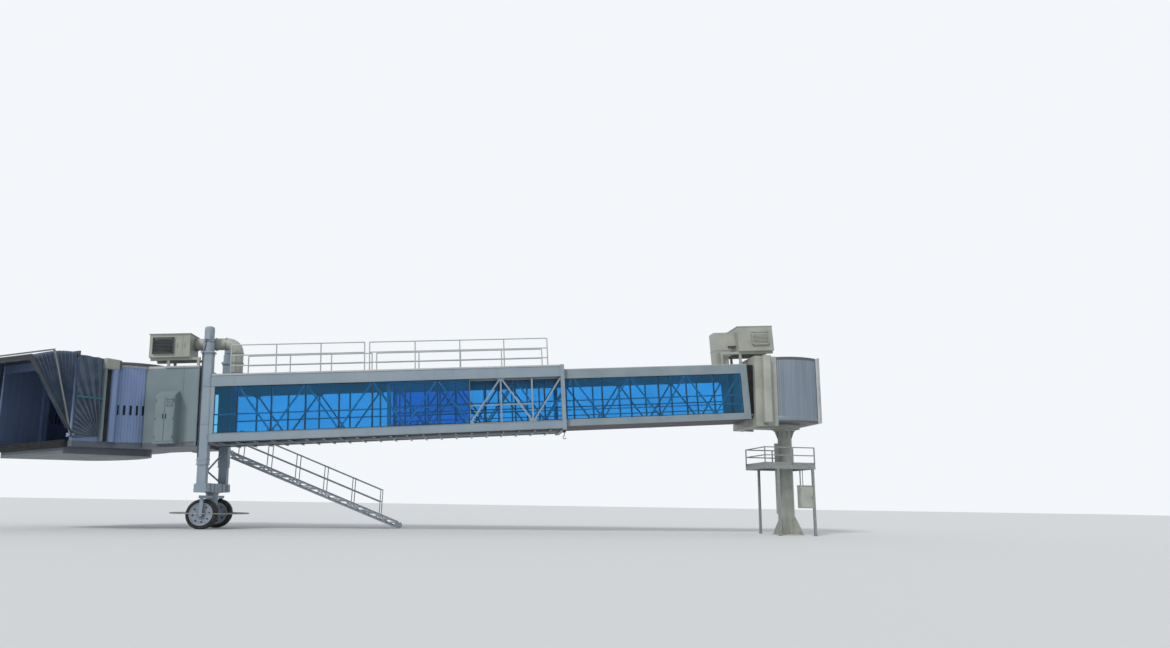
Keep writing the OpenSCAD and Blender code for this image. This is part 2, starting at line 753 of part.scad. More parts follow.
// Separate slabs, with the neck between the lift columns and its end plates
module corridor_walls() {
    door_s0 = landing_s0 + 80;
    door_s1 = door_s0 + 850;
    door_top = cab_floor_top + 2000;
    wall_top = cab_top - 80;
    inside = corridor_half - corridor_wall_t;
    plate_half = inside - seat_gap;
    neck_top = outer_top - outer_roof_t;
    color([0.49, 0.54, 0.54]) on_tunnel() {
        span(corridor_start, corridor_stop - seat_gap, -corridor_half, -inside, cab_floor_top, wall_top);
        // the far wall, beside and over its door
        span(corridor_start, door_s0, inside, corridor_half, cab_floor_top, wall_top);
        span(door_s0 + seat_gap, door_s1 - seat_gap, inside, corridor_half, door_top, wall_top);
        span(door_s1, corridor_stop - seat_gap, inside, corridor_half, cab_floor_top, wall_top);
        both_sides() {
            span(outer_end, corridor_start + 1, -neck_half, -neck_half + neck_t, cab_floor_top, neck_top - seat_gap);
            span(outer_end, outer_end + neck_t, -outer_half, -neck_half + 1, outer_low, neck_top - seat_gap);
            span(corridor_start, corridor_start + neck_t, -plate_half, -neck_half + neck_t,
                cab_floor_top, neck_top - seat_gap);
        }
        span(outer_end, corridor_start + 1, -neck_half, neck_half, neck_top, outer_top);
        span(corridor_start, corridor_start + neck_t, -plate_half, plate_half, neck_top, wall_top);
    }
}

module corridor_floor() {
    color([0.30, 0.31, 0.32]) on_tunnel() {
        span(outer_end, corridor_start + 1, -neck_half + 1 + seat_gap, neck_half - 1 - seat_gap, outer_low, cab_floor_top);
        span(corridor_start, corridor_stop, -corridor_half, corridor_half, cab_low, cab_floor_top);
        translate([-cab_s, 0, cab_low]) cylinder(r = drum_floor_r - run_gap, h = cab_floor_top - cab_low, $fn = round_fn);
    }
}

module corridor_roof() {
    color([0.68, 0.71, 0.72]) on_tunnel() {
        span(corridor_start, corridor_stop, -corridor_half, corridor_half, cab_top - 80, cab_top);
        translate([-cab_s, 0, cab_top - 80]) cylinder(r = cab_drum_r, h = 80, $fn = round_fn);
    }
}

module control_cabinet() {
    cabinet_s0 = 21230;
    cabinet_s1 = 21870;
    color([0.50, 0.55, 0.56]) on_tunnel()
        translate([-cabinet_s1, -corridor_half, 0]) rotate([90, 0, 90]) linear_extrude(cabinet_s1 - cabinet_s0)
            polygon([[0, -60], [-400, -60], [-400, 1570], [0, 1770]]);
}

module cab_curtains() {
    centre = 180 + cab_angle;
    color([0.48, 0.54, 0.64]) on_tunnel() translate([-cab_s, 0, 0]) {
        arc_wall(cab_drum_r - curtain_t, cab_drum_r, cab_floor_top + run_gap, cab_top - 80 - seat_gap,
            cab_corridor_angle, centre - cab_mouth_angle);
        arc_wall(cab_drum_r - curtain_t, cab_drum_r, cab_floor_top + run_gap, cab_top - 80 - seat_gap,
            centre + cab_mouth_angle, 360 - cab_corridor_angle);
    }
}

module cab_aircon() {
    skid_n = cab_top + 320;
    unit_s0 = 20980;
    unit_s1 = unit_s0 + cab_unit_len;
    face = -corridor_half;
    bend_r = 350;
    roof_s = cab_s - cab_drum_r - 60;
    duct_n = outer_top + 1270;
    duct_s = outer_end - 640;
    duct_y = -740;
    color([0.55, 0.60, 0.56]) on_tunnel() {
        for (y = [face + 100, face + cab_unit_w - 180]) {
            span(corridor_start + 40, unit_s1 - 20, y, y + 80, skid_n - 90, skid_n);
            for (s = [corridor_start + 60, roof_s - 100])
                span(s, s + 80, y, y + 80, cab_top, skid_n - 90 - seat_gap);
        }
        span(unit_s0, unit_s1, face, face + cab_unit_w, skid_n - 1, skid_n + cab_unit_h);
        // louvre hood
        span(unit_s0 + 540, unit_s0 + 1240, face - 30, face + 1, skid_n + 130, skid_n + 720);
        // air duct out of the unit, over and down into the tunnel roof
        translate([-unit_s0 + seat_gap, duct_y, duct_n]) rotate([0, 90, 0])
            cylinder(d = duct_d, h = unit_s0 - seat_gap - duct_s - bend_r, $fn = 32);
        translate([-duct_s - bend_r, duct_y, duct_n - bend_r]) rotate([90, 0, 0]) rotate_extrude(angle = 90, $fn = 64)
            translate([bend_r, 0]) circle(d = duct_d, $fn = 32);
        translate([-duct_s, duct_y, outer_top]) cylinder(d = duct_d, h = duct_n - bend_r - outer_top, $fn = 32);
    }
}

module lift_tubes() {
    color([0.52, 0.58, 0.62]) on_tunnel() both_sides() translate([-lift_s, -lift_y, 0]) {
        half = lift_outer / 2;
        hole = lift_hole / 2;
        fit = lift_inner / 2 + seat_gap;
        difference() {
            block([-half, -half, -lift_tube_low], [half, half, lift_top]);
            block([-hole, -hole, -lift_tube_low + 120], [hole, hole, lift_top - 20]);
            block([-fit, -fit, -lift_tube_low - 1], [fit, fit, -lift_tube_low + 121]);
        }
        // brackets to the neck's walls
        for (n = [outer_low + 40, outer_top - 240])
            block([-half, half - 1, n], [half, lift_y - neck_half - seat_gap, n + 200]);
        // collar and drive motor on top
        block([-half - 45, -half - 45, lift_top], [half + 45, half + 45, lift_top + 60]);
        translate([0, 0, lift_top + 60]) cylinder(d = 380, h = 320, $fn = 24);
        translate([0, 0, lift_top + 380]) cylinder(d = 300, h = 570, $fn = 24);
        translate([0, 0, lift_top + 950]) cylinder(d1 = 300, d2 = 240, h = 30, $fn = 24);
    }
}

module stair_landing() {
    outer_y = stair_y + stair_w / 2;
    color([0.45, 0.46, 0.46]) on_tunnel() {
        span(landing_s0, landing_s1, corridor_half, outer_y, landing_n, landing_n + 60);
        for (s = [landing_s0, landing_s1 - 80])
            span(s, s + 80, corridor_half, outer_y, landing_n - 100, landing_n + 1);
        // lugs and pin of the stair hinge
        for (y = [outer_y - stair_w - seat_gap - 30, outer_y + seat_gap])
            translate([-stair_pin_s, y + 30, stair_pin_n]) rotate([90, 0, 0]) linear_extrude(30) union() {
                circle(r = 38, $fn = 32);
                translate([-80, -38]) square([80, 76]);
            }
        span(landing_s0 + 1, landing_s0 + 80, outer_y - 1, outer_y + seat_gap + 30, landing_n - 60, landing_n + 20);
        translate([-stair_pin_s, outer_y - stair_w - 31, stair_pin_n]) rotate([-90, 0, 0])
            cylinder(d = stair_pin_d, h = stair_w + 62, $fn = 32);
        // railing on the open sides
        for (s = [landing_s0 + 20, landing_s1 - 60])
            span(s, s + 40, outer_y - 40, outer_y, landing_n + 59, landing_n + 1100);
        span(landing_s0 + 20, landing_s1 - 20, outer_y - 40, outer_y, landing_n + 1060, landing_n + 1100);
        span(landing_s0 + 20, landing_s1 - 20, outer_y - 40, outer_y, landing_n + 560, landing_n + 600);
        span(landing_s1 - 60, landing_s1 - 20, corridor_half, outer_y, landing_n + 1060, landing_n + 1100);
        span(landing_s1 - 60, landing_s1 - 20, corridor_half, outer_y, landing_n + 560, landing_n + 600);
    }
}

// Drive

module lift_carriage() {
    half = lift_inner / 2;
    hole = half - lift_wall;
    color([0.55, 0.60, 0.63]) on_tunnel() {
        both_sides() translate([-lift_s, -lift_y, 0]) difference() {
            block([-half, -half, carriage_top - carriage_h], [half, half, lift_inner_top]);
            block([-hole, -hole, carriage_top], [hole, hole, lift_inner_top + 1]);
        }
        // cross beam between the inner tubes
        translate([-lift_s, 0, carriage_top - carriage_h])
            block([-200, -lift_y - 190, 0], [200, lift_y + 190, carriage_h]);
    }
    // upright swivel pin under the middle of the beam
    color([0.55, 0.60, 0.63]) translate([bogie_x, 0, 0]) {
        translate([0, 0, pivot_z]) cylinder(d = 460, h = 150, $fn = 48);
        translate([0, 0, pivot_z - 300]) cylinder(d = pivot_pin_d, h = 301, $fn = 48);
    }
}

module bogie_frame() {
    arm_y = wheel_track / 2 + tyre_w / 2 + 30;
    arm_t = 45;
    yoke_z = wheel_d + 20;
    yoke_h = 100;
    color([0.45, 0.50, 0.52]) translate([bogie_x, 0, 0]) {
        // swivel socket and saddle
        difference() {
            union() {
                translate([0, 0, axle_z + 90]) cylinder(d = 420, h = pivot_z - seat_gap - axle_z - 90, $fn = 48);
                block([-230, -480, axle_z - 110], [230, 480, axle_z + 120]);
                block([-110, -arm_y - arm_t, yoke_z], [110, arm_y + arm_t, yoke_z + yoke_h]);
            }
            translate([0, 0, pivot_z - 310]) cylinder(d = pivot_pin_d + 2 * pin_gap, h = 400, $fn = 48);
        }
        // axle, held outside the wheels by arms that hang from a yoke
        translate([0, -arm_y - 1, axle_z]) rotate([-90, 0, 0]) cylinder(d = axle_d, h = 2 * arm_y + 2, $fn = 32);
        both_sides() block([-60, -arm_y - arm_t, axle_z - 80], [60, -arm_y, yoke_z + yoke_h]);
        both_sides() translate([0, -wheel_track / 2 - 60 - seat_gap, axle_z]) rotate([90, 0, 0])
            cylinder(d = 180, h = 25, $fn = 32);
        // drive gearboxes
        both_sides() translate([0, -600, axle_z]) rotate([-90, 0, 0]) cylinder(d = 330, h = 160, $fn = 32);
    }
}

module guard_hoop() {
    rod_z = axle_z + 20;
    rod_y = 200;
    color([0.45, 0.47, 0.48]) translate([bogie_x, 0, 0]) {
        translate([0, 0, rod_z]) rotate_extrude($fn = 96) translate([hoop_r, 0]) circle(d = 40, $fn = 12);
        for (x = [-1, 1], y = [-rod_y, rod_y])
            rod([x * 230, y, rod_z], [x * sqrt(pow(hoop_r, 2) - pow(rod_y, 2)), y, rod_z], 34);
    }
}

module drive_wheel(y) {
    color([0.12, 0.12, 0.13]) translate([bogie_x, y, axle_z]) rotate([90, 0, 0]) rotate_extrude($fn = 96)
        polygon([
            [axle_d / 2 + pin_gap, -60], [110, -60], [130, -tyre_w / 2 + 60], [wheel_d / 2 - 105, -tyre_w / 2 + 30],
            [wheel_d / 2 - 90, -tyre_w / 2], [wheel_d / 2 - 35, -tyre_w / 2 + 15], [wheel_d / 2, -tyre_w / 2 + 60],
            [wheel_d / 2, tyre_w / 2 - 60], [wheel_d / 2 - 35, tyre_w / 2 - 15], [wheel_d / 2 - 90, tyre_w / 2],
            [wheel_d / 2 - 105, tyre_w / 2 - 30], [130, tyre_w / 2 - 60], [110, 60], [axle_d / 2 + pin_gap, 60]]);
}

module wheel_near() {
    drive_wheel(-wheel_track / 2);
}

module wheel_far() {
    drive_wheel(wheel_track / 2);
}

// Stair

module stair_flight() {
    half = stair_w / 2;
    bar_pitch = 2 * tread_pitch;
    bars = floor((stair_len - 400) / bar_pitch);
    treads = floor((stair_len - 500) / tread_pitch);
    tread_d = 230;
    tread_t = 30;
    tread_drop = 150;
    chord = 50;
    end_s = stair_len - 100;
    foot_arm = 35;
    foot_wheel_w = 80;
    hinge_tube_d = 70;
    mid = -stringer_h / 2;
    color([0.42, 0.43, 0.43]) on_stair() {
        both_sides() {
            block([79, -half, 10 - chord], [end_s, -half + chord, 0]);
            block([79, -half, -stringer_h], [end_s, -half + chord, -stringer_h + chord]);
            block([end_s - chord, -half, -stringer_h], [end_s, -half + chord, 0]);
            for (k = [0 : bars])
                flat_bar([100 + k * bar_pitch, k % 2 == 0 ? -20 : -stringer_h + 25],
                    [100 + min((k + 1) * bar_pitch, stair_len - 230), k % 2 == 0 ? -stringer_h + 25 : -20],
                    40, -half + 5, -half + 45);
            // arm to the hinge, arm to the foot and its roller
            block([22, -half, -30], [120, -half + chord, 10]);
            block([79, -half, -stringer_h + 1], [79 + chord, -half + chord, -1]);
            block([end_s - 10, -half, mid - foot_arm], [stair_len + 25, -half + chord, mid + foot_arm]);
            translate([stair_len, -half + chord + 20, mid]) rotate([-90, 0, 0])
                cylinder(r = foot_wheel_r, h = foot_wheel_w, $fn = 64);
        }
        translate([stair_len, -half + 10, mid]) rotate([-90, 0, 0]) cylinder(d = 40, h = stair_w - 20, $fn = 24);
        for (k = [0 : treads])
            translate([180 + k * tread_pitch, -half + 2, -tread_drop]) rotate([0, -stair_deg, 0])
                cube([tread_d, stair_w - 4, tread_t]);
        // hinge tube
        difference() {
            translate([0, -half, 0]) rotate([-90, 0, 0]) cylinder(d = hinge_tube_d, h = stair_w, $fn = 32);
            translate([0, -half - 1, 0]) rotate([-90, 0, 0])
                cylinder(d = stair_pin_d + 2 * seat_gap, h = stair_w + 2, $fn = 32);
        }
    }
}

module stair_railings() {
    half = stair_w / 2;
    rail_pitch = 1200;
    color([0.56, 0.58, 0.58]) on_stair() both_sides() {
        for (k = [0 : 5])
            translate([500 + k * rail_pitch, -half + 25, 7.3]) rotate([0, -stair_deg, 0])
                cylinder(d = 38, h = 980, $fn = 8);
        for (h = [480, 960])
            rod([480 - h * sin(stair_deg), -half + 25, h * cos(stair_deg)],
                [520 + 5 * rail_pitch - h * sin(stair_deg), -half + 25, h * cos(stair_deg)], 38);
    }
}

// Cab

module cab_floor() {
    color([0.26, 0.27, 0.28]) in_cab() {
        difference() {
            block([0, -cab_half, cab_low - 6], [cab_front, cab_half, cab_floor_top]);
            translate([0, 0, cab_low - 5]) cylinder(r = drum_floor_r, h = 600, $fn = round_fn);
            both_sides() block([-1, cab_mouth_half - 200, cab_low - 10], [cab_wall_x, cab_half + 1, 10]);
        }
        translate([0, 0, cab_low - run_gap - cab_under_h]) cylinder(r = 1300, h = cab_under_h, $fn = 64);
        block([0, -1300, cab_low - run_gap - cab_under_h], [cab_front, 1300, cab_low - run_gap]);
        // slewing seat under the fixed disc
        translate([0, 0, cab_low - run_gap - 1]) cylinder(r = 300, h = run_gap + 1 - seat_gap, $fn = 64);
    }
}

module cab_roof() {
    color([0.66, 0.69, 0.71]) in_cab() {
        translate([0, 0, cab_roof_low]) cylinder(r = cab_drum_r + 60, h = cab_roof_t, $fn = round_fn);
        block([0, -cab_half, cab_roof_low], [cab_front, cab_half, cab_roof_low + cab_roof_t]);
        // slewing seat on the fixed disc, and the frame that holds the canopy's rear edge
        translate([0, 0, cab_top + seat_gap]) cylinder(r = 300, h = run_gap, $fn = 64);
        block([cab_front - 60, -cab_half, cab_roof_low + cab_roof_t - 1], [cab_front, cab_half, canopy_z + fabric_r]);
        // curtain drive housings over the jambs
        both_sides() block([cab_wall_x, -cab_half - 140, cab_roof_low - 230], [cab_wall_x + 420, -cab_half, cab_roof_low + 100]);
    }
}

module cab_walls() {
    color([0.50, 0.56, 0.60]) in_cab() {
        both_sides() {
            block([cab_wall_x, -cab_half, cab_floor_top], [cab_front, -cab_mouth_half, cab_roof_low]);
            translate([cab_wall_x + 150, -cab_half - 70, cab_floor_top]) cylinder(d = 200, h = cab_roof_low - cab_floor_top - 230, $fn = 32);
        }
        block([cab_front - 120, -cab_mouth_half - 1, cab_roof_low - 260], [cab_front, cab_mouth_half + 1, cab_roof_low]);
        // brackets and pins of the canopy
        both_sides() {
            block([cab_front - 1, -fabric_half, canopy_z - 60], [canopy_x + 50, -cab_mouth_half, canopy_z + 60]);
            translate([canopy_x, -cab_mouth_half - 10, canopy_z]) rotate([90, 0, 0])
                cylinder(d = canopy_pin_d, h = canopy_half - cab_mouth_half - 10, $fn = 32);
            translate([canopy_x, -canopy_half - seat_gap, canopy_z]) rotate([90, 0, 0])
                cylinder(d = canopy_pin_d + 30, h = 20, $fn = 32);
            translate([canopy_x, -canopy_half + 1, canopy_z]) rotate([90, 0, 0])
                cylinder(d = canopy_pin_d, h = 10, $fn = 32);
        }
    }
}

module cab_bumper() {
    color([0.08, 0.08, 0.09]) in_cab()
        block([cab_front, -cab_mouth_half + 50, cab_floor_top - 200], [cab_front + 110, cab_mouth_half - 50, cab_floor_top + 20]);
}

// A canopy hoop in the plane of angle 0: two arms and a top bar
module hoop(r, half, bar) {
    both_sides() block([hoop_eye_r - 8, -half, -hoop_t / 2], [r, -half + hoop_t, hoop_t / 2]);
    block([r - bar, -half, -hoop_t / 2], [r, half, hoop_t / 2]);
    both_sides() translate([0, -half + hoop_t, 0]) rotate([90, 0, 0]) difference() {
        cylinder(r = hoop_eye_r, h = hoop_t, $fn = 32);
        translate([0, 0, -1]) cylinder(d = canopy_pin_d + 2 * pin_gap, h = hoop_t + 2, $fn = 32);
    }
}

module canopy_mid_hoop() {
    color([0.55, 0.56, 0.58]) at_canopy_pivot(mid_angle) hoop(canopy_mid_r, canopy_mid_half, hoop_t);
}

module canopy_front_hoop() {
    color([0.15, 0.16, 0.18]) at_canopy_pivot(front_angle) {
        hoop(canopy_r, canopy_half, canopy_r - fabric_r - seat_gap);
        // lips that reach in to the fabric's edge
        both_sides() block([lip_r, -canopy_half, -hoop_t / 2], [canopy_r, -fabric_half - seat_gap, hoop_t / 2]);
    }
}

// A folded fabric band between two hoop angles
module fabric_band(a0, a1) {
    in_cab() translate([canopy_x, 0, canopy_z]) rotate([90, 0, 0]) rotate([0, 0, a0])
        rotate_extrude(angle = a1 - a0, $fn = 240) difference() {
            translate([200, -fabric_half]) square([fabric_r - 200, 2 * fabric_half]);
            translate([100, -fabric_half + fabric_t]) square([fabric_r - 100 - fabric_t, 2 * fabric_half - 2 * fabric_t]);
        }
}

// The room a hoop takes at an angle, with the seat's gap on both faces
module hoop_room(angle) {
    edge = hoop_t / 2 + seat_gap;
    at_canopy_pivot(angle) block([-400, -2000, -edge], [canopy_r + 200, 2000, edge]);
}

module canopy_rear_fold() {
    color([0.22, 0.27, 0.33]) difference() {
        fabric_band(mid_angle, 94);
        hoop_room(mid_angle);
        in_cab() block([0, -2000, -1000], [cab_front + seat_gap, 2000, 4000]);
    }
}

module canopy_front_fold() {
    color([0.22, 0.27, 0.33]) difference() {
        fabric_band(front_angle, mid_angle);
        hoop_room(front_angle);
        hoop_room(mid_angle);
    }
}

rotunda_column();
rotunda_floor();
rotunda_roof();
terminal_portal();
rotunda_curtains();
service_platform();
power_cabinet();
swing_frame();
hinge_seal();
inner_floor();
inner_roof();
inner_truss_near();
inner_truss_far();
inner_glass();
rotunda_aircon();
outer_floor();
outer_roof();
outer_truss_near();
outer_truss_far();
outer_glass();
mouth_frame();
roof_railings();
corridor_walls();
corridor_floor();
corridor_roof();
control_cabinet();
cab_curtains();
cab_aircon();
lift_tubes();
stair_landing();
lift_carriage();
bogie_frame();
guard_hoop();
wheel_near();
wheel_far();
stair_flight();
stair_railings();
cab_floor();
cab_roof();
cab_walls();
cab_bumper();
canopy_mid_hoop();
canopy_front_hoop();
canopy_rear_fold();
canopy_front_fold();
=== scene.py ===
"""Looks of a telescoping passenger boarding bridge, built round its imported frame.

Lengths are in metres unless a name ends in _mm. In the tunnel frame a point is
(s, near, n): s runs down the tunnel from its hinge, near points to the side
that the camera sees, and n stands square on the tunnel floor. In the cab frame
x looks out of the cab's mouth.
"""

import json
import logging
import math
from collections.abc import Iterable, Iterator
from dataclasses import dataclass
from enum import Enum
from functools import cache
from typing import ClassVar

import bmesh
import bpy
from mathutils import Matrix, Vector


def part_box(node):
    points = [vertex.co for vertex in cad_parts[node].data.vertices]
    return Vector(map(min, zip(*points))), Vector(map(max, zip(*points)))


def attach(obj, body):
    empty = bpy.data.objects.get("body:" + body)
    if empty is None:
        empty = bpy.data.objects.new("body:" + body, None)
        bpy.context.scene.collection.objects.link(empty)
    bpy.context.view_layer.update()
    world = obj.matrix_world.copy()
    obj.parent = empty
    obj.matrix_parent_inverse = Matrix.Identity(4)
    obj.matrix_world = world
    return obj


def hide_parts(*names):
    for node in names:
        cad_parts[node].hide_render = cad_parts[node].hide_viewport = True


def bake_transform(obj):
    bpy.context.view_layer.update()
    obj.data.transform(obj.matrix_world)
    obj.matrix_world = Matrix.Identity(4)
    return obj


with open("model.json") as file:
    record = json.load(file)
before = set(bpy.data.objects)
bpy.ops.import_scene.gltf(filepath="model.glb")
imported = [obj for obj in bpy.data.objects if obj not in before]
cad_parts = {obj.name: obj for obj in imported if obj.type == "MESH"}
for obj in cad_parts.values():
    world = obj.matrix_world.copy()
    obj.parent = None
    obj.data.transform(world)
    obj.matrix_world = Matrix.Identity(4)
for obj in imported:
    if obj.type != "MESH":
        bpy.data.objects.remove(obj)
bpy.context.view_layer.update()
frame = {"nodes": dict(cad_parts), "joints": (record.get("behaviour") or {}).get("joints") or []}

log = logging.getLogger("boarding_bridge")

ROUND_UP_TO_DEG = 35
BEVEL_FROM_DEG = 50

Point = tuple[float, float, float]
Pair = tuple[float, float]
Colour = tuple[float, float, float, float]


class Axis(Enum):
    """An axis of a local frame, by its place in a point."""

    X = 0
    Y = 1
    Z = 2


class Side(Enum):
    """A side of the bridge, by its sign along Y in the row frame and in the cab's."""

    NEAR = -1
    FAR = 1

    @property
    def word(self) -> str:
        """Return the side in lower case."""
        return self.name.lower()


@dataclass(frozen=True)
class LocalFrame:
    """A right-handed frame of axes in which a sub-assembly is laid out."""

    origin: Vector
    x: Vector
    y: Vector
    z: Vector

    def point(self, place: Point) -> tuple:
        """Return a local place in the row frame."""
        return tuple(self.matrix() @ Vector(place))

    def matrix(self) -> Matrix:
        """Return the matrix from this frame to the row frame."""
        rows = Matrix((self.x, self.y, self.z)).transposed().to_4x4()
        return Matrix.Translation(self.origin) @ rows


def joint(name: str) -> dict:
    """Return the record's entry of a joint."""
    return next(entry for entry in frame["joints"] if entry["name"] == name)


def to_scene(name: str, data: bpy.types.ID) -> bpy.types.Object:
    """Add an object to the scene.

    Args:
        name: its name.
        data: its mesh, lamp or camera.

    Returns:
        The object.
    """
    made = bpy.data.objects.new(name, data)
    bpy.context.scene.collection.objects.link(made)
    return made


def tunnel_frame() -> LocalFrame:
    """Find the frame of the sloping tunnels.

    Returns:
        The frame, from the hinge down.
    """
    along = Vector(joint("tunnel_extend")["axis"]).normalized()
    near = Vector((0, -1, 0))
    return LocalFrame(Vector(joint("tunnel_pitch")["pos_m"]), along, near, along.cross(near))


def cab_frame() -> LocalFrame:
    """Find the frame of the cab.

    Returns:
        The frame, with X out of the cab's mouth.
    """
    up = Vector(joint("cab_swing")["axis"]).normalized()
    across = Vector(joint("canopy_fold")["axis"]).normalized()
    return LocalFrame(Vector(joint("cab_swing")["pos_m"]), across.cross(up), across, up)


WORLD = LocalFrame(Vector((0, 0, 0)), Vector((1, 0, 0)), Vector((0, 1, 0)), Vector((0, 0, 1)))
TUNNEL = tunnel_frame()
CAB = cab_frame()


def circle(centre: Point, radius: float, axis: Axis, degrees: Iterable[float]) -> list[Point]:
    """Return points on a circle.

    Args:
        centre: the circle's centre.
        radius: its radius.
        axis: the axis that it stands square to.
        degrees: the angles of the points.

    Returns:
        The points, in the order of the angles.
    """
    points = []
    for angle in degrees:
        turn = math.radians(angle)
        place = [radius * math.cos(turn), radius * math.sin(turn)]
        place.insert(axis.value, 0.0)
        points.append(tuple(a + b for a, b in zip(centre, place)))
    return points


def spread(count: int, start: float = 0.0) -> list[float]:
    """Return the angles in degrees that share out a full turn."""
    return [start + 360 / count * k for k in range(count)]


def to_linear(colour: str | float | Colour, share: float = 1.0) -> Colour:
    """Turn a colour into linear RGBA.

    Args:
        colour: sRGB hex such as "#8592A0", a level of grey, or linear RGBA.
        share: a factor on the light of a hex colour.

    Returns:
        Linear red, green, blue and an alpha of 1.
    """
    if isinstance(colour, tuple):
        return colour
    if isinstance(colour, float):
        return (colour, colour, colour, 1.0)
    parts = [int(colour[i : i + 2], 16) / 255 for i in (1, 3, 5)]
    linear = [c / 12.92 if c <= 0.04045 else ((c + 0.055) / 1.055) ** 2.4 for c in parts]
    return (*(c * share for c in linear), 1.0)


def add_node(tree: bpy.types.NodeTree, kind: str, settings: dict, links: dict) -> bpy.types.Node:
    """Add one node with its settings and incoming links.

    Args:
        tree: the node tree.
        kind: the node's Blender type, without its common first word.
        settings: attribute names, input names or numbers in brackets, and
            "stops" for a ramp's places and colours, with their values.
        links: input names or numbers with the sockets that feed them.

    Returns:
        The new node.
    """
    node = tree.nodes.new("ShaderNode" + kind)
    for name, value in settings.items():
        if name == "stops":
            for point, (place, *colour) in zip(node.color_ramp.elements, value):
                point.position = place
                point.color = to_linear(*colour)
        elif name.startswith("["):
            key = name[1:-1]
            node.inputs[int(key) if key.isdigit() else key].default_value = value
        else:
            setattr(node, name, value)
    for name, socket in links.items():
        tree.links.new(socket, node.inputs[int(name) if name.isdigit() else name])
    return node


def grain(tree: bpy.types.NodeTree, size_mm: Point | float, detail: float) -> bpy.types.NodeSocket:
    """Lay out a cloudy pattern whose grain has a real size.

    Args:
        tree: the material's node tree.
        size_mm: the grain's size along X, Y and Z, or one size for all.
        detail: the number of octaves.

    Returns:
        The socket with the pattern's level.
    """
    sizes = size_mm if isinstance(size_mm, tuple) else (size_mm,) * 3
    place = add_node(tree, "TexCoord", {}, {})
    scale = {"[Scale]": tuple(1000 / size for size in sizes)}
    mapped = add_node(tree, "Mapping", scale, {"Vector": place.outputs["Object"]})
    cloud = {"[Scale]": 1.0, "[Detail]": detail}
    return add_node(tree, "TexNoise", cloud, {"Vector": mapped.outputs["Vector"]}).outputs["Fac"]


def mottle(
    tree: bpy.types.NodeTree, size_mm: Point | float, detail: float, stops: tuple
) -> bpy.types.NodeSocket:
    """Turn a cloudy pattern into patches of two tones.

    Args:
        tree: the material's node tree.
        size_mm: the patches' size along X, Y and Z, or one size for all.
        detail: the number of octaves.
        stops: the pattern's levels at which each tone is reached, with the tones.

    Returns:
        The socket with the tone.
    """
    level = {"Fac": grain(tree, size_mm, detail)}
    return add_node(tree, "ValToRGB", {"stops": stops}, level).outputs["Color"]


@dataclass(frozen=True)
class Finish:
    """A finish that becomes one Blender material."""

    name: str
    base: str

    def surface(self, tree: bpy.types.NodeTree) -> dict:
        """Lay out the patterns.

        Args:
            tree: the material's node tree.

        Returns:
            The shader's input names, each with a value or the socket that feeds it.
        """
        return {"Base Color": to_linear(self.base), "Roughness": 0.9}

    @cache
    def material(self) -> bpy.types.Material:
        """Make the material once.

        Returns:
            The material.
        """
        made = bpy.data.materials.new(self.name)
        made.use_nodes = True
        made.diffuse_color = to_linear(self.base)
        shader = made.node_tree.nodes["Principled BSDF"]
        for name, value in self.surface(made.node_tree).items():
            if isinstance(value, bpy.types.NodeSocket):
                made.node_tree.links.new(value, shader.inputs[name])
            else:
                shader.inputs[name].default_value = value
        return made


@dataclass(frozen=True)
class PaintedSteel(Finish):
    """Sprayed polyurethane on sheet steel: an even, half matt coat that chalks
    in patches outdoors and carries thin dark rain streaks."""

    faded: str
    grime: str
    streak_share: float = 0.35
    roughness: float = 0.45
    patch_mm: float = 900.0
    streak_mm: float = 60.0
    streak_ratio: float = 22.0
    peel_mm: float = 9.0

    def surface(self, tree: bpy.types.NodeTree) -> dict:
        """Lay chalked patches and streaks over the coat, with its orange peel.

        Args:
            tree: the material's node tree.

        Returns:
            The shader's inputs.
        """
        coat = mottle(tree, self.patch_mm, 4.0, ((0.35, self.base), (0.7, self.faded)))
        streak_mm = (self.streak_mm, self.streak_mm, self.streak_mm * self.streak_ratio)
        stops = ((0.75 - 0.35 * self.streak_share, 0.0), (0.86, self.streak_share))
        links = {"0": mottle(tree, streak_mm, 3.0, stops), "6": coat}
        colour = add_node(tree, "Mix", {"data_type": "RGBA", "[7]": to_linear(self.grime)}, links)
        stops = ((0.3, self.roughness - 0.07), (0.75, self.roughness + 0.12))
        height = {"Height": grain(tree, self.peel_mm, 2.0)}
        bump = add_node(tree, "Bump", {"[Strength]": 0.12, "[Distance]": 0.002}, height)
        return {
            "Base Color": colour.outputs[2],
            "Roughness": mottle(tree, self.patch_mm, 4.0, stops),
            "Normal": bump.outputs["Normal"],
        }


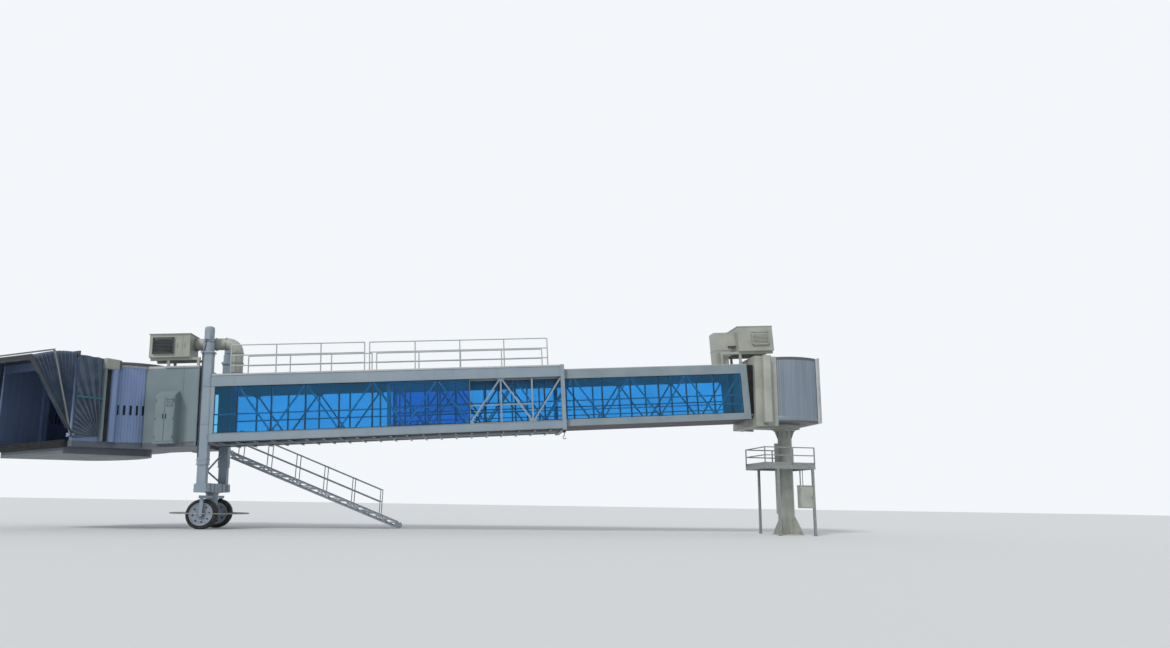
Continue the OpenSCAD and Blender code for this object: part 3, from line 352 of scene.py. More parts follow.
@dataclass(frozen=True)
class Galvanised(Finish):
    """Hot-dip zinc on steel: dull grey with large pale crystals, rough where it
    has weathered, with a little rust bleeding from welds."""

    crystal: str
    rust: str
    crystal_mm: float = 25.0
    bleed_mm: Point = (180.0, 180.0, 420.0)
    rust_share: float = 0.25

    def surface(self, tree: bpy.types.NodeTree) -> dict:
        """Lay rust over crystals that differ in tone and gloss.

        Args:
            tree: the material's node tree.

        Returns:
            The shader's inputs.
        """
        place = add_node(tree, "TexCoord", {}, {})
        scale = {"[Scale]": 1000 / self.crystal_mm}
        cells = add_node(tree, "TexVoronoi", scale, {"Vector": place.outputs["Object"]})
        bits = add_node(tree, "SeparateColor", {}, {"Color": cells.outputs["Color"]})
        stops = ((0.0, self.base), (1.0, self.crystal))
        zinc = add_node(tree, "ValToRGB", {"stops": stops}, {"Fac": bits.outputs["Red"]})
        bleed = mottle(tree, self.bleed_mm, 5.0, ((0.62, 0.0), (0.8, self.rust_share)))
        links = {"0": bleed, "6": zinc.outputs["Color"]}
        colour = add_node(tree, "Mix", {"data_type": "RGBA", "[7]": to_linear(self.rust)}, links)
        stops = ((0.0, 0.42), (1.0, 0.62))
        gloss = add_node(tree, "ValToRGB", {"stops": stops}, {"Fac": bits.outputs["Green"]})
        return {"Base Color": colour.outputs[2], "Metallic": 0.55, "Roughness": gloss.outputs["Color"]}


@dataclass(frozen=True)
class SlatMetal(Finish):
    """Coil-coated aluminium slats: a thin satin coat with upright rain marks."""

    dark: str
    roughness: float
    metallic: float
    run_mm: float = 90.0
    run_ratio: float = 30.0
    patch_mm: Point = (300.0, 300.0, 700.0)

    def surface(self, tree: bpy.types.NodeTree) -> dict:
        """Lay rain marks over a coat with duller patches.

        Args:
            tree: the material's node tree.

        Returns:
            The shader's inputs.
        """
        run_mm = (self.run_mm, self.run_mm, self.run_mm * self.run_ratio)
        stops = ((0.3, self.roughness), (0.7, self.roughness + 0.14))
        return {
            "Base Color": mottle(tree, run_mm, 4.0, ((0.3, self.dark), (0.62, self.base))),
            "Metallic": self.metallic,
            "Roughness": mottle(tree, self.patch_mm, 3.0, stops),
        }


@dataclass(frozen=True)
class TintedGlass(Finish):
    """Body-tinted laminated float glass: light that passes through it turns
    blue, once for each sheet, and its face mirrors the sky a little."""

    through: float = 0.93
    roughness: float = 0.02
    bend: float = 1.18
    haze_mm: Point = (1600.0, 1600.0, 900.0)

    def surface(self, tree: bpy.types.NodeTree) -> dict:
        """Cloud the tint a little.

        Args:
            tree: the material's node tree.

        Returns:
            The shader's inputs.
        """
        return {
            "Base Color": mottle(tree, self.haze_mm, 2.0, ((0.3, self.base, 0.9), (0.72, self.base))),
            "Roughness": self.roughness,
            "IOR": self.bend,
            "Transmission Weight": self.through,
        }


@dataclass(frozen=True)
class Rubber(Finish):
    """Moulded or rolled rubber: nearly black, rough, dusted grey where it is
    rubbed or faces the weather."""

    dust: str
    dust_share: float = 0.5
    grain_mm: float = 14.0
    roughness: float = 0.78
    wear_mm: Point = (120.0, 120.0, 160.0)

    def surface(self, tree: bpy.types.NodeTree) -> dict:
        """Dust the worn places and grain the skin.

        Args:
            tree: the material's node tree.

        Returns:
            The shader's inputs.
        """
        clean, dust = to_linear(self.base), to_linear(self.dust)
        dusty = tuple(a + (b - a) * self.dust_share for a, b in zip(clean, dust))
        height = {"Height": grain(tree, self.grain_mm, 3.0)}
        bump = add_node(tree, "Bump", {"[Strength]": 0.25, "[Distance]": 0.003}, height)
        return {
            "Base Color": mottle(tree, self.wear_mm, 5.0, ((0.42, clean), (0.72, dusty))),
            "Roughness": self.roughness,
            "Normal": bump.outputs["Normal"],
        }


@dataclass(frozen=True)
class CoatedCloth(Finish):
    """Polyester cloth with a PVC coat: matt slate grey with a soft sheen, a
    plain weave and paler, dusty creases. Its threads are under a millimetre,
    so the weave is drawn at 12 mm to show."""

    dust: str
    thread_mm: float = 12.0
    bands_per_unit: float = 6.28
    crease_mm: float = 420.0

    def surface(self, tree: bpy.types.NodeTree) -> dict:
        """Weave the threads and dust the creases.

        Args:
            tree: the material's node tree.

        Returns:
            The shader's inputs.
        """
        place = add_node(tree, "TexCoord", {}, {})
        threads = []
        for direction in ("X", "Z"):
            scale = 1000 / self.thread_mm / self.bands_per_unit
            settings = {"bands_direction": direction, "[Scale]": scale}
            wave = add_node(tree, "TexWave", settings, {"Vector": place.outputs["Object"]})
            threads.append(wave.outputs["Fac"])
        weave = add_node(tree, "Math", {"operation": "MULTIPLY"}, {"0": threads[0], "1": threads[1]})
        height = {"Height": weave.outputs["Value"]}
        bump = add_node(tree, "Bump", {"[Strength]": 0.2, "[Distance]": 0.002}, height)
        return {
            "Base Color": mottle(tree, self.crease_mm, 4.0, ((0.35, self.base), (0.75, self.dust))),
            "Roughness": 0.82,
            "Sheen Weight": 0.35,
            "Normal": bump.outputs["Normal"],
        }


@dataclass(frozen=True)
class Lens(Finish):
    """Moulded polycarbonate: clear and glossy, in one strong colour."""

    roughness: float = 0.12
    cloud_mm: float = 60.0

    def surface(self, tree: bpy.types.NodeTree) -> dict:
        """Cloud the colour a little under a glossy skin.

        Args:
            tree: the material's node tree.

        Returns:
            The shader's inputs.
        """
        tone = mottle(tree, self.cloud_mm, 2.0, ((0.3, self.base, 0.7), (0.7, self.base)))
        return {"Base Color": tone, "Roughness": self.roughness, "Coat Weight": 0.5}


class Coat(Enum):
    """The finishes of the bridge, each with the slot that it mostly stands for."""

    BEAM = PaintedSteel("painted_steel_blue_grey", "#8494A0", "#8F9CA6", "#5C666C"), "steel_blue_grey"
    INNER_BEAM = PaintedSteel("painted_steel_grey_green", "#7B8A92", "#88959B", "#525C60"), "steel_blue_grey"
    CREAM = PaintedSteel("painted_steel_cream", "#94988F", "#AEB0A8", "#75756B", 0.22), "steel_cream"
    GREEN = (
        PaintedSteel("painted_steel_green_grey", "#718288", "#7C8B90", "#4E5A5C", 0.22),
        "steel_green_grey",
    )
    ROOF = PaintedSteel("painted_steel_roof", "#A9AEB0", "#BBBFC0", "#5F6466", 0.5), "roof_pale"
    UNDER = PaintedSteel("painted_steel_underside", "#5A6068", "#666C74", "#3A3E42"), "steel_dark"
    RIM = PaintedSteel("painted_steel_rim", "#4C5054", "#585C60", "#2E3032"), "steel_blue_grey"
    BAND = PaintedSteel("webbing_band_teal", "#2C6468", "#357074", "#1E4548"), "canopy_cloth"
    WHEEL = PaintedSteel("painted_wheel_rim", "#8791A0", "#9199A6", "#5A5A58"), "galvanised"
    DARK = PaintedSteel("painted_steel_charcoal", "#2E3238", "#3C4046", "#17191C"), "steel_dark"
    LIFT = PaintedSteel("painted_steel_lift_tubes", "#8494A3", "#909EAA", "#5A646A"), "steel_blue_grey"
    ZINC = Galvanised("hot_dip_galvanised_steel", "#7E8282", "#9CA0A0", "#7A5A42"), "galvanised"
    # Painted light: a paler copy of the zinc finish, standing in for the light that the ground throws up on
    # to the stair.
    STAIR = Galvanised("galvanised_steel_painted_bounce_light", "#9AA4AC", "#B4BCC2", "#7A6E64"), "galvanised"
    # Partly painted shade: the slats' own silver, darkened to the tone of the rotunda's shaded side.
    SLATS = SlatMetal("coil_coated_aluminium_silver_painted_shade", "#848F9A", "#7A8692", 0.30, 0.85), "slats_silver"
    BLUE_SLATS = SlatMetal("coil_coated_aluminium_blue", "#7D92B8", "#7488AE", 0.42, 0.35), "slats_blue"
    GLASS = TintedGlass("blue_tinted_laminated_glass", "#72CAFA"), "tinted_glass"
    # Painted shade: opaque dark glass for the slots in the cab's curtain, standing in for the dim inside
    # seen through them.
    DARK_GLASS = TintedGlass("slot_glass_painted_shade", "#15222C", 0.0, 0.1), "tinted_glass"
    SEAL = Rubber("rolled_black_rubber", "#141517", "#3B3D3F"), "seal_rubber"
    TYRE = Rubber("solid_tyre_rubber", "#1A1A1B", "#4A4743", 0.65, 20.0), "tyre_rubber"
    FLOOR = Rubber("studded_floor_rubber", "#3C3E41", "#55565A", 0.4, 25.0, 0.6), "floor_dark"
    CLOTH = CoatedCloth("pvc_coated_polyester", "#2D3E57", "#4A5B70"), "canopy_cloth"
    RED = Lens("red_polycarbonate", "#B3241B"), "seal_rubber"
    CLEAR = Lens("frosted_polycarbonate", "#D8DCDD", 0.35), "roof_pale"

    def __init__(self, look: Finish, slot: str) -> None:
        """Keep the finish and the record's slot."""
        self.look = look
        self.slot = slot


class Piece:
    """One mesh that is put together from solids in a local frame."""

    def __init__(self, name: str, body: str | None, local: LocalFrame = WORLD) -> None:
        """Start an empty piece.

        Args:
            name: its name.
            body: the body that it rides on, or None where it bends.
            local: the frame of its points.
        """
        self.name = name
        self.body = body
        self.local = local
        self.mesh = bmesh.new()
        self.hand = 1

    def both(self) -> Iterator[int]:
        """Work on the low side and then on the high one, with Y as a distance outwards.

        Returns:
            Each side's sign in turn.
        """
        for self.hand in (-1, 1):
            yield self.hand
        self.hand = 1

    def vertex(self, place: Point | Vector) -> bmesh.types.BMVert:
        """Add a vertex on the side that is being worked on."""
        return self.mesh.verts.new((place[0], place[1] * self.hand, place[2]))

    def box(self, low: Point, high: Point) -> None:
        """Add a straight block between two corners."""
        outline = [(low[0], low[1]), (high[0], low[1]), (high[0], high[1]), (low[0], high[1])]
        self.prism(outline, low[2], high[2], Axis.Z)

    def pair(self, low: Point, high: Point) -> None:
        """Add a block on both sides, with Y as a distance outwards."""
        for _ in self.both():
            self.box(low, high)

    def prism(self, outline: list[Pair], start: float, stop: float, axis: Axis) -> None:
        """Add an outline drawn out along an axis.

        Args:
            outline: pairs in the two other axes, in the order X, Y, Z.
            start: where it starts along the axis.
            stop: where it stops.
            axis: the axis that it is drawn along.
        """
        rows = []
        for depth in (start, stop):
            places = [list(pair) for pair in outline]
            for place in places:
                place.insert(axis.value, depth)
            rows.append(places)
        self.skin(rows)

    def rod(self, start: Point, stop: Point, diameter: float, sides: int = 10) -> None:
        """Add a round bar between two points."""
        self.tube([start, stop], diameter, sides)

    def tube(self, path: list, diameter: float, sides: int) -> None:
        """Add a round tube along a line of points.

        Args:
            path: the points.
            diameter: its diameter.
            sides: its number of sides.
        """
        points = [Vector((p[0], p[1] * self.hand, p[2])) for p in path]
        flip = Matrix.Diagonal((1, self.hand, 1))
        rows = []
        side = (points[1] - points[0]).normalized().orthogonal().normalized()
        for i, point in enumerate(points):
            along = (points[min(i + 1, len(points) - 1)] - points[max(i - 1, 0)]).normalized()
            side = (side - along * side.dot(along)).normalized()
            up = along.cross(side)
            turns = [math.radians(a) for a in spread(sides)]
            rows.append(
                [flip @ (point + (side * math.cos(t) + up * math.sin(t)) * diameter / 2) for t in turns]
            )
        self.skin(rows)

    def disc(
        self,
        centre: Point,
        axis: Axis,
        profile: list[Pair],
        sides: int = 48,
        depth: float = 1.0,
        capped: bool = True,
    ) -> None:
        """Add a turned solid.

        Args:
            centre: a point on its axis.
            axis: the axis that it turns about.
            profile: pairs of depth along the axis and radius, from end to end.
            sides: its number of sides.
            depth: a factor on the profile's depths, below zero to face the other way.
            capped: whether its ends are closed.
        """
        rows = []
        for along, radius in profile:
            place = list(centre)
            place[axis.value] += along * depth
            rows.append(circle(place, radius, axis, spread(sides)))
        self.skin(rows, capped=capped)

    def skin(self, rows: list, looped: bool = True, capped: bool = True) -> list[bmesh.types.BMFace]:
        """Join rows of points to a skin.

        Args:
            rows: lists of points, one after another.
            looped: whether each row closes on itself.
            capped: whether the first and the last row are filled, where they are loops.

        Returns:
            The faces, row by row, without the caps.
        """
        rings = [[self.vertex(place) for place in row] for row in rows]
        count = len(rings[0])
        faces = []
        for a, b in zip(rings, rings[1:]):
            for k in range(count if looped else count - 1):
                m = (k + 1) % count
                faces.append(self.mesh.faces.new([a[k], a[m], b[m], b[k]]))
        if looped and capped:
            self.mesh.faces.new(rings[0][::-1])
            self.mesh.faces.new(rings[-1])
        return faces

    def bolts(self, places: list, axis: Axis, depth: float, diameter: float) -> None:
        """Add hexagon bolt heads with washers.

        Args:
            places: the points on the face where they stand.
            axis: the face's normal.
            depth: the head's height, below zero to face the other way.
            diameter: the head's width.
        """
        washer, rim, crown = (diameter * share for share in (0.72, 0.5, 0.46))
        for place in places:
            self.disc(place, axis, [(0, washer), (0.25, washer), (0.26, rim), (1, crown)], 6, depth)

    def louvres(self, low: Point, high: Point, pitch: float, face: float) -> None:
        """Add sloping louvre blades and a rim over an opening in the X-Z plane.

        Args:
            low: the opening's low corner, its Y on the wall.
            high: the opening's high corner.
            pitch: the distance between blades.
            face: how far they stand out along Y, with its sign.
        """
        (x0, y, z0), (x1, _, z1) = low, high
        for k in range(int((z1 - z0) / pitch)):
            z = z0 + k * pitch
            blade = [(y, z + pitch * 0.75), (y, z + pitch * 0.95)]
            self.prism([*blade, (y + face, z + pitch * 0.2), (y + face, z)], x0, x1, Axis.X)
        rim = 0.03
        y0, y1 = sorted((y, y + face * 1.2))
        for x in (x0 - rim, x1):
            self.box((x, y0, z0 - rim), (x + rim, y1, z1 + rim))
        for z in (z0 - rim, z1):
            self.box((x0 - rim, y0, z), (x1 + rim, y1, z + rim))

    def finish(
        self,
        coat: Coat,
        bevel: float = 0.0,
        smooth: bool = False,
        slot: str = "",
        extra: tuple[Coat, ...] = (),
    ) -> bpy.types.Object:
        """Turn the piece into an object that rides on its body.

        Args:
            coat: its finish.
            bevel: the radius of its edges.
            smooth: whether it is shaded round.
            slot: the record's slot, where it isn't the one of the finish; not used.
            extra: further finishes that single faces have.

        Returns:
            The object.
        """
        bmesh.ops.recalc_face_normals(self.mesh, faces=self.mesh.faces)
        self.mesh.transform(self.local.matrix())
        data = bpy.data.meshes.new(self.name)
        self.mesh.to_mesh(data)
        self.mesh.free()
        made = to_scene(self.name, data)
        for one in (coat, *extra):
            data.materials.append(one.look.material())
        if smooth:
            data.shade_smooth()
            data.set_sharp_from_angle(angle=math.radians(ROUND_UP_TO_DEG))
        if bevel:
            edge = made.modifiers.new("edges", "BEVEL")
            edge.width = bevel
            edge.segments = 2
            edge.limit_method = "ANGLE"
            edge.angle_limit = math.radians(BEVEL_FROM_DEG)
        if self.body:
            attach(made, self.body)
        slot or coat.slot
        log.info("%s: %d faces on %s", self.name, len(data.polygons), self.body or "two bodies")
        return made


@dataclass
class Assembly:
    """A sub-assembly: its frame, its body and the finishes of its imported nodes."""

    local: ClassVar[LocalFrame] = TUNNEL
    body: ClassVar[str] = ""
    coats: ClassVar[dict[str, Coat]] = {}

    def piece(self, name: str) -> Piece:
        """Start a piece in this assembly's frame and on its body."""
        return Piece(name, self.body, self.local)

    def dress(self) -> None:
        """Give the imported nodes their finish."""
        for node, coat in self.coats.items():
            mesh = frame["nodes"][node].data
            mesh.materials.clear()
            mesh.materials.append(coat.look.material())

    def build(self) -> None:
        """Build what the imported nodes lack."""
        raise NotImplementedError


@dataclass
class Stage:
    """Floor, light and camera."""

    focal_px: float = 776.0
    image_w_px: float = 1170.0
    sensor_mm: float = 36.0
    camera_at: Point = (-12.655, -30.628, 1.17)
    turn_deg: float = -8.0
    pitch_deg: float = 12.871
    roll_deg: float = 0.934
    far_clip: float = 500.0
    floor_half: float = 160.0
    sky: Colour = (0.93, 0.96, 1.0, 1.0)
    sky_power: float = 0.62
    backdrop: Colour = (0.90, 0.93, 0.96, 1.0)
    sun: Point = (1.0, 0.98, 0.95)
    sun_power: float = 1.55
    sun_deg: float = 12.0
    sun_turn_deg: Point = (48.0, -14.0, -24.0)

    def camera(self) -> None:
        """Place the camera at the viewpoint of the picture."""
        data = bpy.data.cameras.new("camera")
        data.sensor_width = self.sensor_mm
        data.lens = self.focal_px / self.image_w_px * self.sensor_mm
        data.clip_end = self.far_clip
        made = to_scene("camera", data)
        turn, pitch, roll = (math.radians(a) for a in (self.turn_deg, self.pitch_deg, self.roll_deg))
        flat = math.cos(pitch)
        ahead = Vector((-math.sin(turn) * flat, math.cos(turn) * flat, math.sin(pitch)))
        level = Vector((math.cos(turn), math.sin(turn), 0))
        above = level.cross(ahead)
        right = level * math.cos(roll) + above * math.sin(roll)
        up = above * math.cos(roll) - level * math.sin(roll)
        axes = Matrix((right, up, -ahead)).transposed().to_4x4()
        made.matrix_world = Matrix.Translation(Vector(self.camera_at)) @ axes
        bpy.context.scene.camera = made

    def light(self) -> None:
        """Light the bridge softly and show a pale background to the camera."""
        scene = bpy.context.scene
        scene.view_settings.view_transform = "Standard"
        scene.world = bpy.data.worlds.new("sky")
        scene.world.use_nodes = True
        tree = scene.world.node_tree
        tree.nodes.clear()
        path = add_node(tree, "LightPath", {}, {})
        seen = path.outputs["Is Camera Ray"]
        for other in ("Is Glossy Ray", "Is Transmission Ray"):
            links = {"0": seen, "1": path.outputs[other]}
            seen = add_node(tree, "Math", {"operation": "MAXIMUM"}, links).outputs["Value"]
        links = {"0": seen}
        for key, colour, power in (("1", self.sky, self.sky_power), ("2", self.backdrop, 1.0)):
            settings = {"[Color]": colour, "[Strength]": power}
            links[key] = add_node(tree, "Background", settings, {}).outputs["Background"]
        mix = add_node(tree, "MixShader", {}, links)
        add_node(tree, "OutputWorld", {}, {"Surface": mix.outputs["Shader"]})
        sun = bpy.data.lights.new("key", "SUN")
        sun.energy = self.sun_power
        sun.angle = math.radians(self.sun_deg)
        sun.color = self.sun
        lamp = to_scene("key", sun)
        lamp.rotation_euler = [math.radians(a) for a in self.sun_turn_deg]

    def floor(self) -> None:
        """Lay the plain pale floor."""
        data = bpy.data.meshes.new("floor")
        edge = self.floor_half
        corners = [(-edge, -edge, 0), (edge, -edge, 0), (edge, edge, 0), (-edge, edge, 0)]
        data.from_pydata(corners, [], [(0, 1, 2, 3)])
        data.materials.append(Finish("pale_floor", "#D9DBDC").material())
        to_scene("floor", data)


@dataclass
class SlatCurtain:
    """A curtain of upright interlocking slats that rolls on to a barrel."""

    name: str
    local: LocalFrame
    radius: float
    span_deg: Pair
    heights: Pair
    pitch: float = 0.085
    slots: tuple[float, ...] = ()
    rib: float = 0.006
    thick: float = 0.022
    hem: float = 0.06

    def build(self, coat: Coat, bodies: tuple[str, str]) -> bpy.types.Object:
        """Build the curtain, which rides on no body.

        Args:
            coat: finish of the slats.
            bodies: the body at the first angle and the one at the last; not used.

        Returns:
            The curtain.
        """
        first, last = (math.radians(a) for a in self.span_deg)
        count = max(2, round(abs(last - first) * self.radius / self.pitch))
        step = (last - first) / count
        shares = [(0.0, -self.rib), (0.14, 0.0), (0.5, self.rib * 0.35), (0.86, 0.0)]
        angles = [first + step * (k + share) for k in range(count) for share, _ in shares] + [last]
        outer = [self.radius + rib - self.rib for _ in range(count) for _, rib in shares]
        outer.append(self.radius - 2 * self.rib)
        low, high = self.heights
        levels = [low, low + self.hem, *self.slots, high - self.hem, high]
        rows = []
        for a, r in zip(angles, outer):
            outside = [(r * math.cos(a), r * math.sin(a), z) for z in levels]
            r -= self.thick
            inside = [(r * math.cos(a), r * math.sin(a), z) for z in levels]
            rows.append(outside + inside[::-1])
        piece = Piece(self.name, None, self.local)
        faces = piece.skin(rows)
        loop = len(rows[0])
        # The slots' faces take the dark glass: painted shade standing in for the dim inside of the cab seen
        # through them.
        for k in range(len(angles) - 1) if self.slots else ():
            for face in (faces[k * loop + 2], faces[k * loop + loop - 4]):
                face.material_index = int(k % 8 in (1, 2))
        made = piece.finish(coat, extra=(Coat.DARK_GLASS,))
        ends = circle((0, 0, 0), self.radius, Axis.Z, self.span_deg)
        self.local.point(ends[0])
        self.local.point(ends[1])
        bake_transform(made)
        return made


@dataclass
class Rotunda(Assembly):
    """Column, rotunda, service platform and swing frame."""

    local: ClassVar[LocalFrame] = WORLD
    body: ClassVar[str] = "rotunda_base"
    coats: ClassVar[dict[str, Coat]] = {
        "rotunda_column": Coat.CREAM,
        "rotunda_floor": Coat.RIM,
        "rotunda_roof": Coat.ROOF,
        "terminal_portal": Coat.ROOF,
        "service_platform": Coat.ZINC,
        "power_cabinet": Coat.CREAM,
        "swing_frame": Coat.CREAM,
    }

    floor: float = 4.575
    clear_h: float = 2.25
    radius: float = 1.6
    roof_t: float = 0.10
    cone_h: float = 0.09
    portal_x: float = 1.02
    portal_half: float = 1.37
    portal_deg: float = 56.2
    swing_deg: float = 131.4
    column_r: float = 0.28
    plate_t: float = 0.05
    bolt_r: float = 0.53
    deck: float = 2.70
    frame_face: float = -1.70
    barrel: Pair = (-1.255, 1.535)
    casing: tuple[Pair, ...] = (
        (-1.43, 1.41), (-1.43, 1.655), (-1.38, 1.70), (-1.16, 1.70), (-1.10, 1.64), (-1.10, 1.60),
        (-1.14, 1.60), (-1.18, 1.66), (-1.37, 1.66), (-1.40, 1.64), (-1.40, 1.41),
    )
    casing_span: Pair = (4.30, 6.93)

    def build(self) -> None:
        """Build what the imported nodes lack."""
        self._curtains()
        self._anchors()
        self._roof()
        self._rims()
        self._portal()
        self._platform()
        self._cabinet()
        self._frame()
        self._barrels()
        self._seal()

    def _curtains(self) -> None:
        """Hang the slats on both sides."""
        play = 0.002
        heights = (self.floor + play, self.floor + self.clear_h - play)
        for side in Side:
            span = (side.value * self.portal_deg, side.value * self.swing_deg)
            name = "rotunda_slats_" + side.word
            curtain = SlatCurtain(name, WORLD, self.radius - play, span, heights)
            made = curtain.build(Coat.SLATS, ("rotunda_base", "swing"))
            if side is Side.NEAR:
                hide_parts("rotunda_curtains")

    def _anchors(self) -> None:
        """Stand studs and nuts on the base plate."""
        piece = self.piece("anchor_nuts")
        washer = 0.006
        for x, y, z in circle((0, 0, self.plate_t), self.bolt_r, Axis.Z, spread(8)):
            piece.disc((x, y, z), Axis.Z, [(0, 0.036), (washer, 0.036)], 24)
            piece.disc((x, y, z + washer), Axis.Z, [(0, 0.028), (0.026, 0.028)], 6)
            piece.rod((x, y, z), (x, y, z + 0.075), 0.033, 12)
        piece.finish(Coat.ZINC)

    def _roof(self) -> None:
        """Add standing seams to the roof's cone."""
        top = self.floor + self.clear_h + self.roof_t
        piece = self.piece("rotunda_roof_seams")
        turns = spread(16, 11.25)
        eaves = circle((0, 0, top + 0.004), 0.83, Axis.Z, turns)
        for low, high in zip(eaves, circle((0, 0, top + self.cone_h), 0.25, Axis.Z, turns)):
            piece.rod(low, high, 0.024, 6)
        piece.finish(Coat.ROOF, slot="steel_blue_grey")

    def _rims(self) -> None:
        """Roll the edges of roof and floor round both curtains."""
        rims = self.piece("rotunda_rims")
        skirt = self.piece("rotunda_skirt")
        steps = 24
        span = self.swing_deg - self.portal_deg - 4
        skirt_rows = [(0.0008, -0.17), (0.0016, -0.165), (0.0016, -0.005), (0.0008, 0.0)]
        for side in (-1, 1):
            turns = [side * (self.portal_deg + 0.5 + span * k / steps) for k in range(steps + 1)]
            for z, size in ((self.floor + self.clear_h + 0.055, 0.11), (self.floor - 0.205, 0.06)):
                rims.tube(circle((0, 0, z), self.radius + 0.002 - size / 2, Axis.Z, turns), size, 12)
                rows = [(0.0008, -size / 2), (0.0016, size * 0.4 - size / 2), (0.0016, size / 2)]
                sheet = [circle((0, 0, z + up), self.radius + out, Axis.Z, turns) for out, up in rows]
                rims.skin(sheet, looped=False)
            sheet = [
                circle((0, 0, self.floor + up), self.radius + out, Axis.Z, turns) for out, up in skirt_rows
            ]
            skirt.skin(sheet, looped=False)
        skirt.finish(Coat.SLATS, smooth=True)
        rims.finish(Coat.RIM, smooth=True)

    def _portal(self) -> None:
        """Add the rubber gasket and the bolts of the terminal flange."""
        x, half = self.portal_x, self.portal_half
        low, high = self.floor - 0.24, self.floor + self.clear_h + 0.14
        width, thick = 0.025, 0.012
        gasket = self.piece("terminal_gasket")
        gasket.pair((x, half - width, low), (x + thick, half, high))
        gasket.box((x, -half, high - width), (x + thick, half, high))
        gasket.finish(Coat.SEAL, 0.003)
        piece = self.piece("terminal_flange_bolts")
        for _ in piece.both():
            places = [(x - 0.03, half - 0.035, low + 0.2 + 0.4 * k) for k in range(6)]
            piece.bolts(places, Axis.X, -0.02, 0.028)
        piece.finish(Coat.ZINC)

    def _platform(self) -> None:
        """Lay grating and kick plates on the platform and set its feet."""
        low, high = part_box("service_platform")
        deck, pitch, bar, edge = self.deck, 0.06, 0.008, 0.05
        piece = self.piece("platform_grating")
        for k in range(int((high.x - low.x - 2 * edge) / pitch)):
            x = low.x + edge + k * pitch
            clear = math.sqrt(max(0.0, (self.column_r + 0.03) ** 2 - x * x))
            y0, y1 = low.y + edge, high.y - edge
            for start, stop in ((y0, -clear), (clear, y1)) if clear else ((y0, y1),):
                piece.box((x, start, deck), (x + bar, stop, deck + 0.018))
        for y in (low.y + 0.045, high.y - 0.053):
            piece.box((low.x + 0.04, y, deck), (high.x - 0.04, y + bar, deck + 0.1))
        piece.box((low.x + 0.045, low.y + 0.04, deck), (low.x + 0.053, high.y - 0.04, deck + 0.1))
        piece.finish(Coat.ZINC)
        feet = self.piece("platform_feet")
        for x in (-0.755, 0.675):
            for y in (low.y + 0.045, high.y - 0.045):
                feet.box((x - 0.08, y - 0.045, 0), (x + 0.08, y + 0.045, 0.012))
                feet.bolts([(x - 0.062, y, 0.012), (x + 0.062, y, 0.012)], Axis.Z, 0.02, 0.022)
        feet.finish(Coat.ZINC, 0.002)

    def _cabinet(self) -> None:
        """Add the door, rain cap, hinges and conduits of the power cabinet."""
        low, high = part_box("power_cabinet")
        piece = self.piece("power_cabinet_door")
        piece.box((low.x + 0.02, low.y - 0.018, low.z + 0.03), (high.x - 0.02, low.y, high.z - 0.03))
        piece.box((low.x - 0.02, low.y - 0.03, high.z), (high.x + 0.02, high.y + 0.01, high.z + 0.02))
        piece.finish(Coat.CREAM, 0.004)
        small = self.piece("power_cabinet_fittings")
        hinge_x, hinge_y = low.x + 0.03, low.y - 0.024
        for z in (low.z + 0.15, high.z - 0.15):
            small.rod((hinge_x, hinge_y, z - 0.04), (hinge_x, hinge_y, z + 0.04), 0.016)
        small.box((high.x - 0.075, low.y - 0.03, 1.40), (high.x - 0.045, low.y - 0.018, 1.52))
        small.rod((high.x - 0.06, low.y - 0.032, 1.42), (high.x - 0.06, low.y - 0.032, 1.50), 0.018, 12)
        for x, size in ((low.x + 0.1, 0.05), (low.x + 0.2, 0.032)):
            small.rod((x, high.y - 0.1, high.z), (x, high.y - 0.1, self.deck - 0.16), size)
        small.finish(Coat.ZINC, smooth=True)

    def _frame(self) -> None:
        """Cover the swing frame's posts and lintel with strips."""
        piece = Piece("swing_frame_trim", "swing")
        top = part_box("swing_frame")[1].z
        for z in (4.5, 5.1, 5.7, 6.3, 6.8):
            piece.pair((self.frame_face + 0.05, 1.394, z), (-1.42, 1.406, z + 0.025))
        piece.box((self.frame_face + 0.02, -1.36, top), (-1.05, 1.36, top + 0.012))
        piece.finish(Coat.CREAM, 0.002)

    def _barrels(self) -> None:
        """Case the roller barrels and bolt the slewing ring."""
        casing = Piece("barrel_casings", "swing")
        low, high = self.casing_span
        for _ in casing.both():
            casing.prism(self.casing, low, high, Axis.Z)
            for z in (low - 0.02, high - 0.005):
                casing.box((-1.42, 1.43, z), (-1.12, 1.68, z + 0.02))
            for z in (4.9, 5.6, 6.3):
                casing.box((-1.37, 1.70, z), (-1.17, 1.706, z + 0.03))
        casing.finish(Coat.CREAM, 0.003)
        rings = Piece("slewing_bolts", "swing")
        ring_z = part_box("swing_frame")[0].z
        rings.bolts(circle((0, 0, ring_z), 0.5, Axis.Z, spread(12, 8)), Axis.Z, -0.03, 0.034)
        for _ in rings.both():
            for z in (4.33, 6.85):
                rings.disc((*self.barrel, z), Axis.Z, [(0, 0.13), (0.025, 0.13)], 32)
            rings.disc((*self.barrel, 4.18), Axis.Z, [(0, 0.035), (0.07, 0.06)], 16)
        rings.finish(Coat.ZINC, smooth=True)

